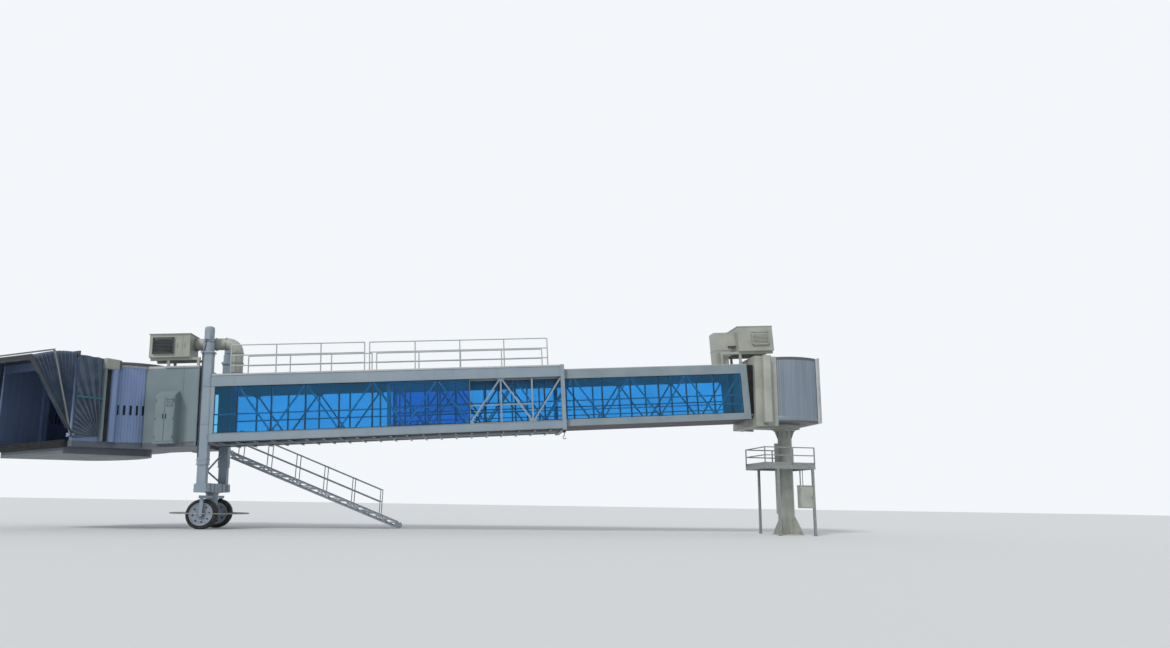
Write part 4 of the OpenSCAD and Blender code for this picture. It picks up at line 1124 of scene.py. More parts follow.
    def _seal(self) -> None:
        """Fold the rubber seal between the swing frame and the inner tunnel."""
        low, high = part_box("hinge_seal")
        half, bottom, top = high.y - 0.03, low.z + 0.01, high.z - 0.035
        pleats, corner, depth, gap = 7, 0.06, 0.022, 0.002
        outline = []
        for side in (-1, 1):
            y = side * half
            column = [(y, z, side, 0.0) for z in (bottom, bottom + 0.6, (bottom + top) / 2, top - corner)]
            column.append((y - side * corner * 0.3, top - corner * 0.3, side * 0.7, 0.7))
            column.append((y - side * corner, top, 0.0, 1.0))
            outline += column if side < 0 else column[::-1]
        start = self.frame_face - gap
        slope = TUNNEL.z.x / TUNNEL.z.z
        rows = []
        for k in range(pleats + 1):
            fold = depth if k % 2 else -depth
            row = []
            for y, z, out_y, out_z in outline:
                end = TUNNEL.origin.x + TUNNEL.x.x * 0.06 + slope * (z - TUNNEL.origin.z) + gap
                row.append((start + (end - start) * k / pleats, y + out_y * fold, z + out_z * fold))
            rows.append(row)
        piece = Piece("hinge_bellows", None)
        piece.skin(rows, looped=False)
        made = piece.finish(Coat.SEAL)
        made.modifiers.new("thickness", "SOLIDIFY").thickness = 0.008
        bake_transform(made)
        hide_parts("hinge_seal")


@dataclass
class Tunnel(Assembly):
    """What both tunnels share: beams, posts and glass of their side frames."""

    name: str
    start: float
    end: float
    half: float
    side_t: float
    low: float
    top: float
    low_beam: float
    top_beam: float
    first_post: float
    bay: float
    posts: int
    glass_start: float
    glass_end: float

    def post_places(self) -> list[float]:
        """Return where the posts stand along the tunnel."""
        return [self.first_post + k * self.bay for k in range(self.posts)]

    def glass_heights(self) -> Pair:
        """Return the glass's low and high edge."""
        return self.low + self.low_beam, self.top - self.top_beam

    def gussets(self, coat: Coat, height: float, low_first: bool) -> None:
        """Add gussets where the diagonals meet the beams, inside the beams' faces.

        Args:
            coat: their finish.
            height: how far they reach from the beam.
            low_first: whether the first one stands on the lower beam.
        """
        piece = self.piece(self.name + "_gussets")
        plate = self.half - self.side_t * 0.35
        base_half, tip_half = height + 0.06, height - 0.04
        low, high = self.glass_heights()
        for _ in piece.both():
            for k, s in enumerate(self.post_places()):
                at_low = (k % 2 == 0) == low_first
                base, tip = (low, low + height) if at_low else (high, high - height)
                outline = [(s - base_half, base), (s + base_half, base)]
                outline += [(s + tip_half, tip), (s - tip_half, tip)]
                piece.prism(outline, plate, plate + 0.006, Axis.Y)
        piece.finish(coat)

    def glazing(self) -> None:
        """Add gaskets round the glass and over its joints."""
        piece = self.piece(self.name + "_gaskets")
        low, high = self.glass_heights()
        width, face = 0.022, self.half - 0.010
        out = face + 0.007
        for z in (low, high - width):
            piece.pair((self.glass_start, face, z), (self.glass_end, out, z + width))
        for s in (self.glass_start, self.glass_end - width):
            piece.pair((s, face, low), (s + width, out, high))
        for s in self.post_places():
            if self.glass_start + 0.1 < s < self.glass_end - 0.1:
                piece.pair((s - 0.013, face, low), (s + 0.013, out, high))
        piece.finish(Coat.SEAL)


@dataclass
class InnerTunnel(Tunnel):
    """The tunnel that is hinged to the rotunda."""

    body: ClassVar[str] = "inner_tunnel"
    coats: ClassVar[dict[str, Coat]] = {
        "inner_floor": Coat.FLOOR,
        "inner_roof": Coat.ROOF,
        "inner_truss_near": Coat.INNER_BEAM,
        "inner_truss_far": Coat.INNER_BEAM,
        "inner_glass": Coat.GLASS,
        "rotunda_aircon": Coat.CREAM,
    }

    name: str = "inner"
    start: float = 0.06
    end: float = 14.07
    half: float = 1.20
    side_t: float = 0.09
    low: float = 0.0
    top: float = 2.17
    low_beam: float = 0.25
    top_beam: float = 0.35
    first_post: float = 0.37
    bay: float = 1.12
    posts: int = 13
    glass_start: float = 0.34
    glass_end: float = 13.95
    ceiling: float = 2.05
    unit_span: Pair = (-1.25, 0.23)
    unit_heights: Pair = (2.75, 3.75)
    unit_sides: Pair = (-0.4, 1.0)

    def build(self) -> None:
        """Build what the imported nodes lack."""
        self.glazing()
        self._lamps()
        self._rails()
        self._roof()
        self._panels()
        self._fans()
        self.gussets(Coat.INNER_BEAM, 0.1, low_first=False)

    def _lamps(self) -> None:
        """Hang the lamp strips inside."""
        piece = self.piece("inner_lamps")
        z = self.ceiling
        outline = [(-0.09, z), (0.09, z), (0.06, z - 0.05), (-0.06, z - 0.05)]
        s = self.start + 0.7
        while s < self.end - 1.2:
            piece.prism(outline, s, s + 1.1, Axis.X)
            s += 2.3
        piece.finish(Coat.CLEAR, 0.004)

    def _rails(self) -> None:
        """Add the second handrail inside."""
        rails = self.piece("inner_second_rails")
        inside = self.half - self.side_t * 0.85
        y, z = inside - 0.045, self.low + 0.62
        for _ in rails.both():
            rails.rod((self.first_post, y, z), (self.end - 0.06, y, z), 0.04, 10)
            for s in self.post_places():
                rails.rod((s, inside + 0.002, z), (s, y, z), 0.016, 6)
        rails.finish(Coat.ZINC, smooth=True)

    def _roof(self) -> None:
        """Add roof seams and rain edges, low enough to slide under the outer roof."""
        piece = self.piece("inner_roof_seams")
        top, crest = self.top, self.top + 0.02
        s = 1.6
        while s < 13.9:
            outline = [(s - 0.03, top), (s - 0.012, crest), (s + 0.012, crest), (s + 0.03, top)]
            piece.prism(outline, -1.1, 1.1, Axis.Y)
            s += 1.15
        piece.pair((self.start, 1.15, top), (self.end, 1.17, top + 0.03))
        piece.finish(Coat.ROOF)

    def _panels(self) -> None:
        """Dress the unit over the rotunda with louvres, seams, handles and duct collars."""
        (s0, s1), (base, top), (far, near) = self.unit_span, self.unit_heights, self.unit_sides
        grille = self.piece("rotunda_aircon_louvres")
        grille.louvres((s0 + 0.23, near + 0.04, base + 0.27), (s0 + 0.87, 0, base + 0.76), 0.055, 0.03)
        grille.louvres((s0 + 0.15, far, base + 0.2), (s1 - 0.2, 0, base + 0.8), 0.06, -0.04)
        grille.finish(Coat.CREAM)
        seams = self.piece("rotunda_aircon_panels")
        for s in (s0, s0 + 0.96, s1 - 0.02):
            seams.box((s, near, base), (s + 0.018, near + 0.008, top))
        seams.box((s0 - 0.02, far - 0.02, top), (s1 + 0.02, near + 0.02, top + 0.03))
        seams.box((s0, near, base + 0.02), (s1, near + 0.006, base + 0.06))
        for y in (near + 0.001, far - 0.013):
            for s in (s0 + 1.05, s0 + 1.36):
                seams.box((s, y, base + 0.4), (s + 0.02, y + 0.012, base + 0.55))
        for s in (s1 + 0.02, 0.56):
            seams.box((s, 0.085, base + 0.275), (s + 0.03, 0.715, base + 0.855))
        for n in (2.20, 2.85):
            seams.box((0.585, 0.085, n), (1.165, 0.715, n + 0.035))
        seams.finish(Coat.CREAM, 0.003)

    def _fans(self) -> None:
        """Guard both fans on the unit's top."""
        fans = self.piece("rotunda_aircon_fans")
        top = self.unit_heights[1] + 0.03
        for s in (self.unit_span[0] + 0.4, self.unit_span[0] + 1.1):
            fans.disc((s, 0.3, top), Axis.Z, [(0, 0.31), (0.05, 0.3), (0.05, 0.27), (0.0, 0.26)], 40)
            hub = (s, 0.3, top + 0.045)
            for tip in circle(hub, 0.28, Axis.Z, spread(6)):
                fans.rod(hub, tip, 0.008, 6)
            for r in (0.08, 0.15, 0.22):
                fans.tube(circle(hub, r, Axis.Z, [11.25 * k for k in range(33)]), 0.007, 6)
        fans.finish(Coat.DARK, smooth=True)


@dataclass
class OuterTunnel(Tunnel):
    """The tunnel that slides over the inner one, with its roof and mouth."""

    body: ClassVar[str] = "outer_tunnel"
    coats: ClassVar[dict[str, Coat]] = {
        "outer_floor": Coat.FLOOR,
        "outer_roof": Coat.ROOF,
        "outer_truss_near": Coat.BEAM,
        "outer_truss_far": Coat.BEAM,
        "outer_glass": Coat.GLASS,
        "mouth_frame": Coat.BEAM,
        "roof_railings": Coat.ROOF,
    }

    name: str = "outer"
    start: float = 7.59
    end: float = 20.18
    half: float = 1.40
    side_t: float = 0.12
    low: float = -0.085
    top: float = 2.285
    low_beam: float = 0.30
    top_beam: float = 0.40
    first_post: float = 8.693
    bay: float = 1.178
    posts: int = 10
    glass_start: float = 11.049
    glass_end: float = 20.06
    mouth: float = 7.44

    def build(self) -> None:
        """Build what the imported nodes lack."""
        self._flanges()
        self.gussets(Coat.BEAM, 0.11, low_first=True)
        self.glazing()
        self._under()
        self._roof()
        self._mouth()
        self._trolley()

    def _flanges(self) -> None:
        """Add flanges and splice plates to the beams."""
        piece = self.piece("outer_beam_flanges")
        low, high = self.glass_heights()
        lip, proud, inset = 0.014, 0.016, 0.05
        beams = ((self.low + inset, low - inset), (high + inset, self.top - inset))
        for z in (self.low, low - lip, high, self.top - lip):
            piece.pair((self.start, self.half - 0.02, z), (self.end, self.half + proud, z + lip))
        s = self.start + 2.4
        while s < self.end - 0.6:
            for z0, z1 in beams:
                piece.pair((s - 0.011, self.half, z0), (s + 0.011, self.half + 0.006, z1))
            s += self.bay * 2
        piece.finish(Coat.BEAM, 0.003)

    def _under(self) -> None:
        """Add cross joists and a cable tray under the floor."""
        piece = self.piece("outer_joists")
        low, high = self.low - 0.05, self.low
        flange, web, wide = low + 0.008, 0.004, 0.035
        tee = [(-wide, low), (wide, low), (wide, flange), (web, flange), (web, high)]
        tee += [(-web, high), (-web, flange), (-wide, flange)]
        s = self.mouth + 0.6
        while s < self.end - 0.2:
            piece.prism([(s + x, z) for x, z in tee], -1.36, 1.36, Axis.Y)
            s += 0.59
        tray = self.low - 0.09
        start = self.mouth + 0.3
        for y in (0.55, 0.78):
            piece.box((start, y, tray), (self.end, y + 0.004, low))
        piece.box((start, 0.55, tray), (self.end, 0.784, tray + 0.004))
        piece.finish(Coat.BEAM)
        cables = self.piece("outer_tray_cables")
        for k, y in enumerate((0.58, 0.62, 0.655, 0.70, 0.745)):
            z = tray + 0.018
            cables.rod((start + 0.02, y, z), (self.end, y, z), 0.026 + 0.004 * (k % 2), 8)
        cables.finish(Coat.SEAL, smooth=True)

    def _roof(self) -> None:
        """Add rain edges, a walkway and the railings' feet to the roof."""
        piece = self.piece("outer_roof_edges")
        piece.pair((self.mouth + 0.15, 1.385, self.top), (self.end, 1.405, self.top + 0.055))
        piece.finish(Coat.ROOF, 0.003)
        walk = self.piece("roof_walkway")
        low, high = self.top + 0.05, self.top + 0.058
        s = 8.2
        while s < 19.3:
            walk.box((s, -0.42, low), (s + 1.13, 0.42, high))
            for k in range(9):
                y = -0.40 + k * 0.1
                walk.box((s + 0.02, y, high), (s + 1.11, y + 0.012, high + 0.008))
            s += 1.16
        walk.finish(Coat.ZINC)
        feet = self.piece("railing_feet")
        foot = [(0, 0.075), (0.012, 0.075), (0.013, 0.034), (0.05, 0.03)]
        for first, bay, count in ((8.03, 1.6725, 5), (14.9, 1.5767, 4)):
            for k in range(count):
                for _ in feet.both():
                    feet.disc((first + k * bay, 1.14, self.top), Axis.Z, foot, 16)
        feet.finish(Coat.ZINC, smooth=True)

    def _mouth(self) -> None:
        """Add the brush seal and the bolts at the mouth."""
        brush = self.piece("mouth_brush")
        s0, s1 = self.mouth + 0.03, self.mouth + 0.045
        brush.pair((s0, 1.215, 0.0), (s1, 1.29, 2.2))
        brush.box((s0, -1.25, 2.185), (s1, 1.25, 2.24))
        brush.finish(Coat.SEAL)
        piece = self.piece("mouth_bolts")
        for _ in piece.both():
            places = [(self.mouth + 0.075, 1.43, -0.05 + 0.3 * k) for k in range(8)]
            piece.bolts(places, Axis.Y, 0.016, 0.026)
        piece.finish(Coat.ZINC)

    def _trolley(self) -> None:
        """Hang the cable trolley's hook under the mouth."""
        hook = self.piece("mouth_trolley")
        s, y, plate, radius = self.mouth + 0.075, 1.18, -0.24, 0.06
        hook.box((s - 0.055, y - 0.06, plate), (s + 0.055, y + 0.06, plate + 0.095))
        hook.rod((s, y, plate), (s, y, plate - 0.12), 0.03)
        bow = circle((s, y, plate - 0.12 - radius), radius, Axis.Y, range(90, -190, -20))
        hook.tube(bow, 0.026, 8)
        hook.finish(Coat.DARK, smooth=True)


@dataclass
class Corridor(Assembly):
    """The corridor between tunnel and cab, with its machinery."""

    body: ClassVar[str] = "outer_tunnel"
    coats: ClassVar[dict[str, Coat]] = {
        "corridor_walls": Coat.GREEN,
        "corridor_floor": Coat.UNDER,
        "corridor_roof": Coat.ROOF,
        "control_cabinet": Coat.GREEN,
        "cab_aircon": Coat.CREAM,
        "stair_landing": Coat.STAIR,
    }

    start: float = 20.60
    clear_of_cab: float = 21.745
    half: float = 1.40
    low: float = -0.20
    top: float = 2.67
    roof: float = 2.285
    door_span: Pair = (20.70, 21.55)
    door_h: float = 1.975
    cabinet_span: Pair = (21.23, 21.87)
    cabinet_face: float = 1.80
    unit_span: Pair = (20.98, 22.34)
    unit_heights: Pair = (2.99, 3.83)
    unit_sides: Pair = (0.50, 1.40)
    duct_r: float = 0.22
    duct_s: float = 19.54
    duct_y: float = 0.74
    duct_n: float = 3.555
    drum_r: float = 2.098
    edge_deg: float = 41.8
    mouth_deg: float = 45.2
    rest_deg: float = 66.0
    curtain_heights: Pair = (-0.019, 2.588)
    slot_heights: Pair = (0.92, 1.26)

    def build(self) -> None:
        """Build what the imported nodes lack."""
        self._walls()
        self._cabinet()
        self._panels()
        self._duct()
        self._curtains()

    def _walls(self) -> None:
        """Add panel joints, and a frame and rain strip round the doorway."""
        piece = self.piece("corridor_joints")
        half, clear = self.half, self.clear_of_cab
        for s in (self.start + 0.012, 21.12):
            piece.box((s, half, self.low), (s + 0.03, half + 0.012, self.top))
        piece.box((self.start, half, -0.045), (clear, half + 0.02, -0.01))
        piece.box((self.start, half, self.top - 0.09), (clear, half + 0.025, self.top - 0.05))
        (s0, s1), high, width = self.door_span, self.door_h, 0.05
        for s in (s0 - width, s1):
            piece.box((s, -half - 0.018, -0.025), (s + width, -half + 0.08, high + width))
        piece.box((s0 - width, -half - 0.018, high), (s1 + width, -half + 0.08, high + width))
        piece.box((s0 - 0.15, -half - 0.14, high + 0.08), (s1 + 0.15, -half, high + 0.1))
        piece.finish(Coat.GREEN, 0.003)

    def _cabinet(self) -> None:
        """Add doors, vents, handles and hinges to the control cabinet."""
        (s0, s1), face = self.cabinet_span, self.cabinet_face
        middle, door = (s0 + s1) / 2, face + 0.016
        piece = self.piece("control_cabinet_doors")
        for a, b in ((s0 + 0.025, middle - 0.008), (middle + 0.008, s1 - 0.025)):
            piece.box((a, face, -0.03), (b, door, 1.52))
        piece.box((s0 - 0.02, face - 0.42, -0.1), (s1 + 0.02, face + 0.02, -0.06))
        piece.louvres((s0 + 0.1, door, 1.22), (s0 + 0.24, 0, 1.42), 0.04, 0.02)
        piece.finish(Coat.GREEN, 0.005)
        small = self.piece("control_cabinet_fittings")
        for s in (s0 + 0.26, s1 - 0.29):
            small.box((s, door, 0.75), (s + 0.03, door + 0.012, 0.92))
            small.rod((s + 0.015, face + 0.034, 0.77), (s + 0.015, face + 0.034, 0.90), 0.018, 10)
        for s in (s0 + 0.032, s1 - 0.032):
            for z in (0.12, 0.75, 1.38):
                small.rod((s, face + 0.02, z - 0.045), (s, face + 0.02, z + 0.045), 0.018, 8)
        small.finish(Coat.DARK, smooth=True)

    def _panels(self) -> None:
        """Dress the unit over the corridor with louvres, seams and handles."""
        (s0, s1), (base, top), (far, near) = self.unit_span, self.unit_heights, self.unit_sides
        dark = self.piece("cab_aircon_louvres")
        dark.louvres((s0 + 0.57, near + 0.03, base + 0.16), (s0 + 1.21, 0, base + 0.69), 0.05, 0.035)
        dark.louvres((s0 + 0.12, far, base + 0.12), (s1 - 0.12, 0, base + 0.7), 0.06, -0.04)
        dark.finish(Coat.DARK)
        piece = self.piece("cab_aircon_panels")
        for s in (s0, s0 + 0.25, s0 + 0.49, s1 - 0.02):
            piece.box((s, near, base), (s + 0.018, near + 0.009, top))
        for z in (base + 0.01, top - 0.04):
            piece.box((s0, near, z), (s1, near + 0.01, z + 0.03))
        piece.box((s0 - 0.03, far - 0.03, top), (s1 + 0.03, near + 0.03, top + 0.03))
        for s in (s0 + 0.17, s0 + 0.42):
            piece.box((s, near + 0.008, base + 0.36), (s + 0.018, near + 0.022, base + 0.52))
        piece.finish(Coat.CREAM, 0.003, slot="steel_green_grey")

    def _duct(self) -> None:
        """Band the round duct and set its foot on the tunnel's roof."""
        rings = self.piece("cab_duct_collars")
        r = self.duct_r
        hoop = [(0, r), (0, r + 0.022), (0.035, r + 0.022), (0.035, r)]
        for s in (20.93, 20.62, 20.25, 19.90):
            rings.disc((s, self.duct_y, self.duct_n), Axis.X, hoop, 40)
        for z in (3.16, 2.80, 2.44):
            rings.disc((self.duct_s, self.duct_y, z), Axis.Z, hoop, 40)
        foot = [(0, 0.32), (0.02, 0.32), (0.06, r + 0.005)]
        rings.disc((self.duct_s, self.duct_y, self.roof), Axis.Z, foot, 40)
        rings.finish(Coat.ZINC, smooth=True)

    def _curtains(self) -> None:
        """Hang the slats between corridor and cab."""
        local = LocalFrame(CAB.origin, -TUNNEL.x, -TUNNEL.y, TUNNEL.z)
        turned = 180 + self.rest_deg
        spans = {
            "cab_slats_far": (self.edge_deg, turned - self.mouth_deg),
            "cab_slats_near": (360 - self.edge_deg, turned + self.mouth_deg),
        }
        for name, span in spans.items():
            curtain = SlatCurtain(
                name, local, self.drum_r, span, self.curtain_heights, pitch=0.095, slots=self.slot_heights
            )
            made = curtain.build(Coat.BLUE_SLATS, ("outer_tunnel", "cab"))
            if name.endswith("near"):
                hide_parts("cab_curtains")


@dataclass
class LiftDrive(Assembly):
    """Lift columns, carriage, bogie and wheels."""

    body: ClassVar[str] = "outer_tunnel"
    coats: ClassVar[dict[str, Coat]] = {
        "lift_tubes": Coat.LIFT,
        "lift_carriage": Coat.LIFT,
        "bogie_frame": Coat.LIFT,
        "guard_hoop": Coat.ZINC,
        "wheel_near": Coat.TYRE,
        "wheel_far": Coat.TYRE,
    }

    s: float = 20.39
    y: float = 1.20
    tube_half: float = 0.165
    tube_low: float = -0.86
    tube_top: float = 3.13
    wheel_y: float = 0.85
    wheel_r: float = 0.52
    tyre_half: float = 0.165
    axle_z: float = 0.52
    cowl: tuple[Pair, ...] = (
        (0, 0.152), (0.01, 0.174), (0.03, 0.174), (0.04, 0.168), (0.38, 0.168), (0.39, 0.174),
        (0.41, 0.174), (0.42, 0.168), (0.50, 0.168), (0.55, 0.15), (0.575, 0.11), (0.585, 0.05),
    )
    rim: tuple[Pair, ...] = (
        (-0.029, 0.396), (-0.012, 0.398), (-0.010, 0.382), (-0.026, 0.365), (-0.034, 0.345), (-0.040, 0.28),
        (-0.048, 0.21), (-0.053, 0.14), (-0.030, 0.13), (-0.030, 0.116), (-0.055, 0.112),
    )

    def build(self) -> None:
        """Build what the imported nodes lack."""
        self._motors()
        self._straps()
        self._plates()
        self._linkage()
        self._bogie()
        for side in Side:
            self._wheel(side)
            self._tread(side)

    def _motors(self) -> None:
        """Add cowls, terminal boxes, bolts and cables to the lift motors."""
        piece = self.piece("lift_motor_cowls")
        s, y, top = self.s, self.y, self.tube_top
        for side in piece.both():
            piece.disc((s, y, top + 0.42), Axis.Z, self.cowl, 40)
            out = y + 0.17 + side * 0.005
            piece.box((s - 0.09, out - 0.045, top + 0.5), (s + 0.09, out + 0.045, top + 0.68))
        piece.finish(Coat.LIFT, 0.004)
        small = self.piece("lift_motor_fittings")
        for _ in small.both():
            places = [(s + a, y + b, top + 0.06) for a in (-0.17, 0.17) for b in (-0.17, 0.17)]
            small.bolts(places, Axis.Z, 0.022, 0.036)
            cable = [(s + 0.05, y + 0.19, top + 0.5), (s + 0.05, y + 0.2, top + 0.3)]
            cable.append((s + 0.14, y + 0.2, top - 0.1))
            cable += [(s + 0.14, y + 0.185, n) for n in (0.6, -0.6)]
            small.tube(cable, 0.03, 8)
        small.finish(Coat.DARK, 0.003, smooth=True)

    def _straps(self) -> None:
        """Add straps, wear guides and bolts to the lift tubes."""
        piece = self.piece("lift_tube_straps")
        half, thin = self.tube_half, 0.012
        for _ in piece.both():
            for z in (self.tube_low, self.tube_low + 0.16, 0.55, 1.9, self.tube_top - 0.06):
                for a, b in ((-1, 0), (1, 0), (0, -1), (0, 1)):
                    s, y = self.s + a * half, self.y + b * half
                    wide, deep = (thin, thin + half) if a else (thin + half, thin)
                    piece.box((s - wide, y - deep, z), (s + wide, y + deep, z + 0.035))
            for z in (0.05, 0.13, 2.1, 2.2):
                places = [(self.s + ds, self.y + half, z) for ds in (-0.13, 0.13)]
                piece.bolts(places, Axis.Y, 0.02, 0.028)
        piece.finish(Coat.LIFT, 0.002)

    def _plates(self) -> None:
        """Add end plates, bolts and stiffeners to the carriage's beam."""
        plates = Piece("carriage_plates", "carriage", TUNNEL)
        face, thick = 0.2, 0.012
        for _ in plates.both():
            y = self.y
            outline = [(y - 0.19, -1.78), (y + 0.19, -1.78), (y + 0.15, -1.52), (y - 0.15, -1.52)]
            for ds in (-1, 1):
                x0, x1 = sorted((self.s + ds * face, self.s + ds * (face + thick)))
                plates.prism(outline, x0, x1, Axis.X)
                places = [
                    (self.s + ds * (face + thick), y + dy, z) for dy in (-0.12, 0.12) for z in (-1.72, -1.58)
                ]
                plates.bolts(places, Axis.X, ds * 0.02, 0.03)
                x0, x1 = sorted((self.s + ds * face, self.s + ds * (face + 0.025)))
                for rib in (0.45, 0.9):
                    plates.box((x0, rib - 0.006, -1.79), (x1, rib + 0.006, -1.51))
        plates.finish(Coat.LIFT, 0.002)

    def _linkage(self) -> None:
        """Add the folding cable guide beside the far lift column."""
        piece = Piece("lift_cable_guide", None, TUNNEL)
        y = -self.y + 0.25
        top, knee, bottom = (self.s - 0.06, y, -0.30), (self.s + 0.52, y, -0.98), (self.s - 0.10, y, -1.55)
        for a, b in ((top, knee), (knee, bottom)):
            for dy in (-0.03, 0.03):
                piece.rod((a[0], y + dy, a[2]), (b[0], y + dy, b[2]), 0.055, 8)
        for s, _, n in (top, knee, bottom):
            piece.disc((s, y - 0.06, n), Axis.Y, [(0, 0.05), (0.12, 0.05)], 20)
        piece.rod(top, (top[0], y, -0.2), 0.05, 8)
        piece.rod((bottom[0], y, bottom[2] + 0.06), (bottom[0], y, bottom[2] - 0.06), 0.07, 8)
        made = piece.finish(Coat.LIFT, smooth=True)
        TUNNEL.point(top)
        TUNNEL.point(bottom)
        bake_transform(made)

    def _bogie(self) -> None:
        """Add flanges, brake motors and bolts to the bogie."""
        low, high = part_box("bogie_frame")
        x, z = (low.x + high.x) / 2, self.axle_z
        piece = Piece("bogie_fittings", "bogie")
        for _ in piece.both():
            piece.bolts(circle((x, 0.60, z), 0.135, Axis.Y, spread(8, 10)), Axis.Y, 0.022, 0.026)
            piece.disc((x, 0.44, z), Axis.Y, [(0.0, 0.18), (0.02, 0.18), (0.022, 0.165)], 40)
            piece.disc((x, 0.936, z), Axis.Y, [(0, 0.06), (0.02, 0.055), (0.026, 0.03)], 24)
            motor = (x - 0.43, 0.3, z - 0.02)
            piece.rod((x - 0.23, 0.3, z - 0.02), motor, 0.17, 24)
            piece.disc(motor, Axis.X, [(0, 0.09), (0.04, 0.08), (0.05, 0.03)], 24, -1.0)
        piece.bolts(circle((x, 0, high.z - 0.045), 0.185, Axis.Z, spread(12)), Axis.Z, 0.02, 0.024)
        piece.disc((x, 0, z + 0.12), Axis.Z, [(0, 0.26), (0.02, 0.26), (0.05, 0.212)], 48)
        piece.finish(Coat.LIFT, smooth=True)

    def _hub(self, side: Side) -> Point:
        """Return the middle of one wheel."""
        low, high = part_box("wheel_" + side.word)
        return (low.x + high.x) / 2, side.value * self.wheel_y, self.axle_z

    def _wheel(self, side: Side) -> None:
        """Add both faces of one wheel's rim, with nuts and with dark discs that paint the shade inside its
        holes.

        Args:
            side: the wheel's side.
        """
        x, y, z = self._hub(side)
        rim = Piece("rim_" + side.word, side.word + "_wheel")
        hole_shade = Piece("rim_hole_shade_" + side.word, side.word + "_wheel")
        for face in (-1, 1):
            edge = y + face * self.tyre_half
            rim.disc((x, edge, z), Axis.Y, self.rim, depth=face, capped=False)
            nuts = circle((x, edge - face * 0.051, z), 0.17, Axis.Y, spread(10))
            rim.bolts(nuts, Axis.Y, face * 0.026, 0.03)
            # Dark discs in place of the holes: painted shade, where an open hole would show the dark inside
            # of the wheel.
            for place in circle((x, edge - face * 0.040, z), 0.275, Axis.Y, spread(8, 10)):
                hole_shade.disc(place, Axis.Y, [(0, 0.036), (0.004, 0.034)], 20, face)
        rim.finish(Coat.WHEEL, smooth=True)
        hole_shade.finish(Coat.DARK)

    def _tread(self, side: Side) -> None:
        """Add the blocks of one tyre's tread.

        Args:
            side: the wheel's side.
        """
        x, y, z = self._hub(side)
        tread = Piece("tread_" + side.word, side.word + "_wheel")
        low, high = self.wheel_r - 0.032, self.wheel_r - 0.001
        for k in range(40):
            block = []
            for r, turned in ((low, -0.035), (low, 0.035), (high, 0.028), (high, -0.028)):
                t = math.radians(9 * k) + turned
                block.append((x + r * math.cos(t), z + r * math.sin(t)))
            for face in (-1, 1):
                y0, y1 = sorted((y + face * 0.03, y + face * (self.tyre_half - 0.045)))
                tread.prism(block, y0, y1, Axis.Y)
        tread.finish(Coat.TYRE, 0.004)


@dataclass
class ServiceStair(Assembly):
    """The flight of stairs on the far side."""

    coats: ClassVar[dict[str, Coat]] = {"stair_flight": Coat.STAIR, "stair_railings": Coat.STAIR}

    slope_deg: float = 21.5
    half: float = 0.39
    treads: int = 22
    pitch: float = 0.31
    bars: int = 6
    bar: Pair = (0.014, 0.01)

    def build(self) -> None:
        """Add the gratings of the treads."""
        turn = math.radians(self.slope_deg)
        along, across = Vector((math.cos(turn), 0, -math.sin(turn))), Vector((0, 1, 0))
        local = LocalFrame(Vector(joint("stair_pitch")["pos_m"]), along, across, along.cross(across))
        level, up = Vector((math.cos(turn), math.sin(turn))), Vector((-math.sin(turn), math.cos(turn)))
        wide, thick = level * self.bar[0], up * self.bar[1]
        piece = Piece("stair_treads", "stair", local)
        for k in range(self.treads):
            for j in range(self.bars):
                a = Vector((0.18 + k * self.pitch, -0.15)) + level * (0.01 + j * 0.038) + up * 0.03
                piece.prism([a, a + wide, a + wide + thick, a + thick], -self.half, self.half, Axis.Y)
        piece.finish(Coat.STAIR)


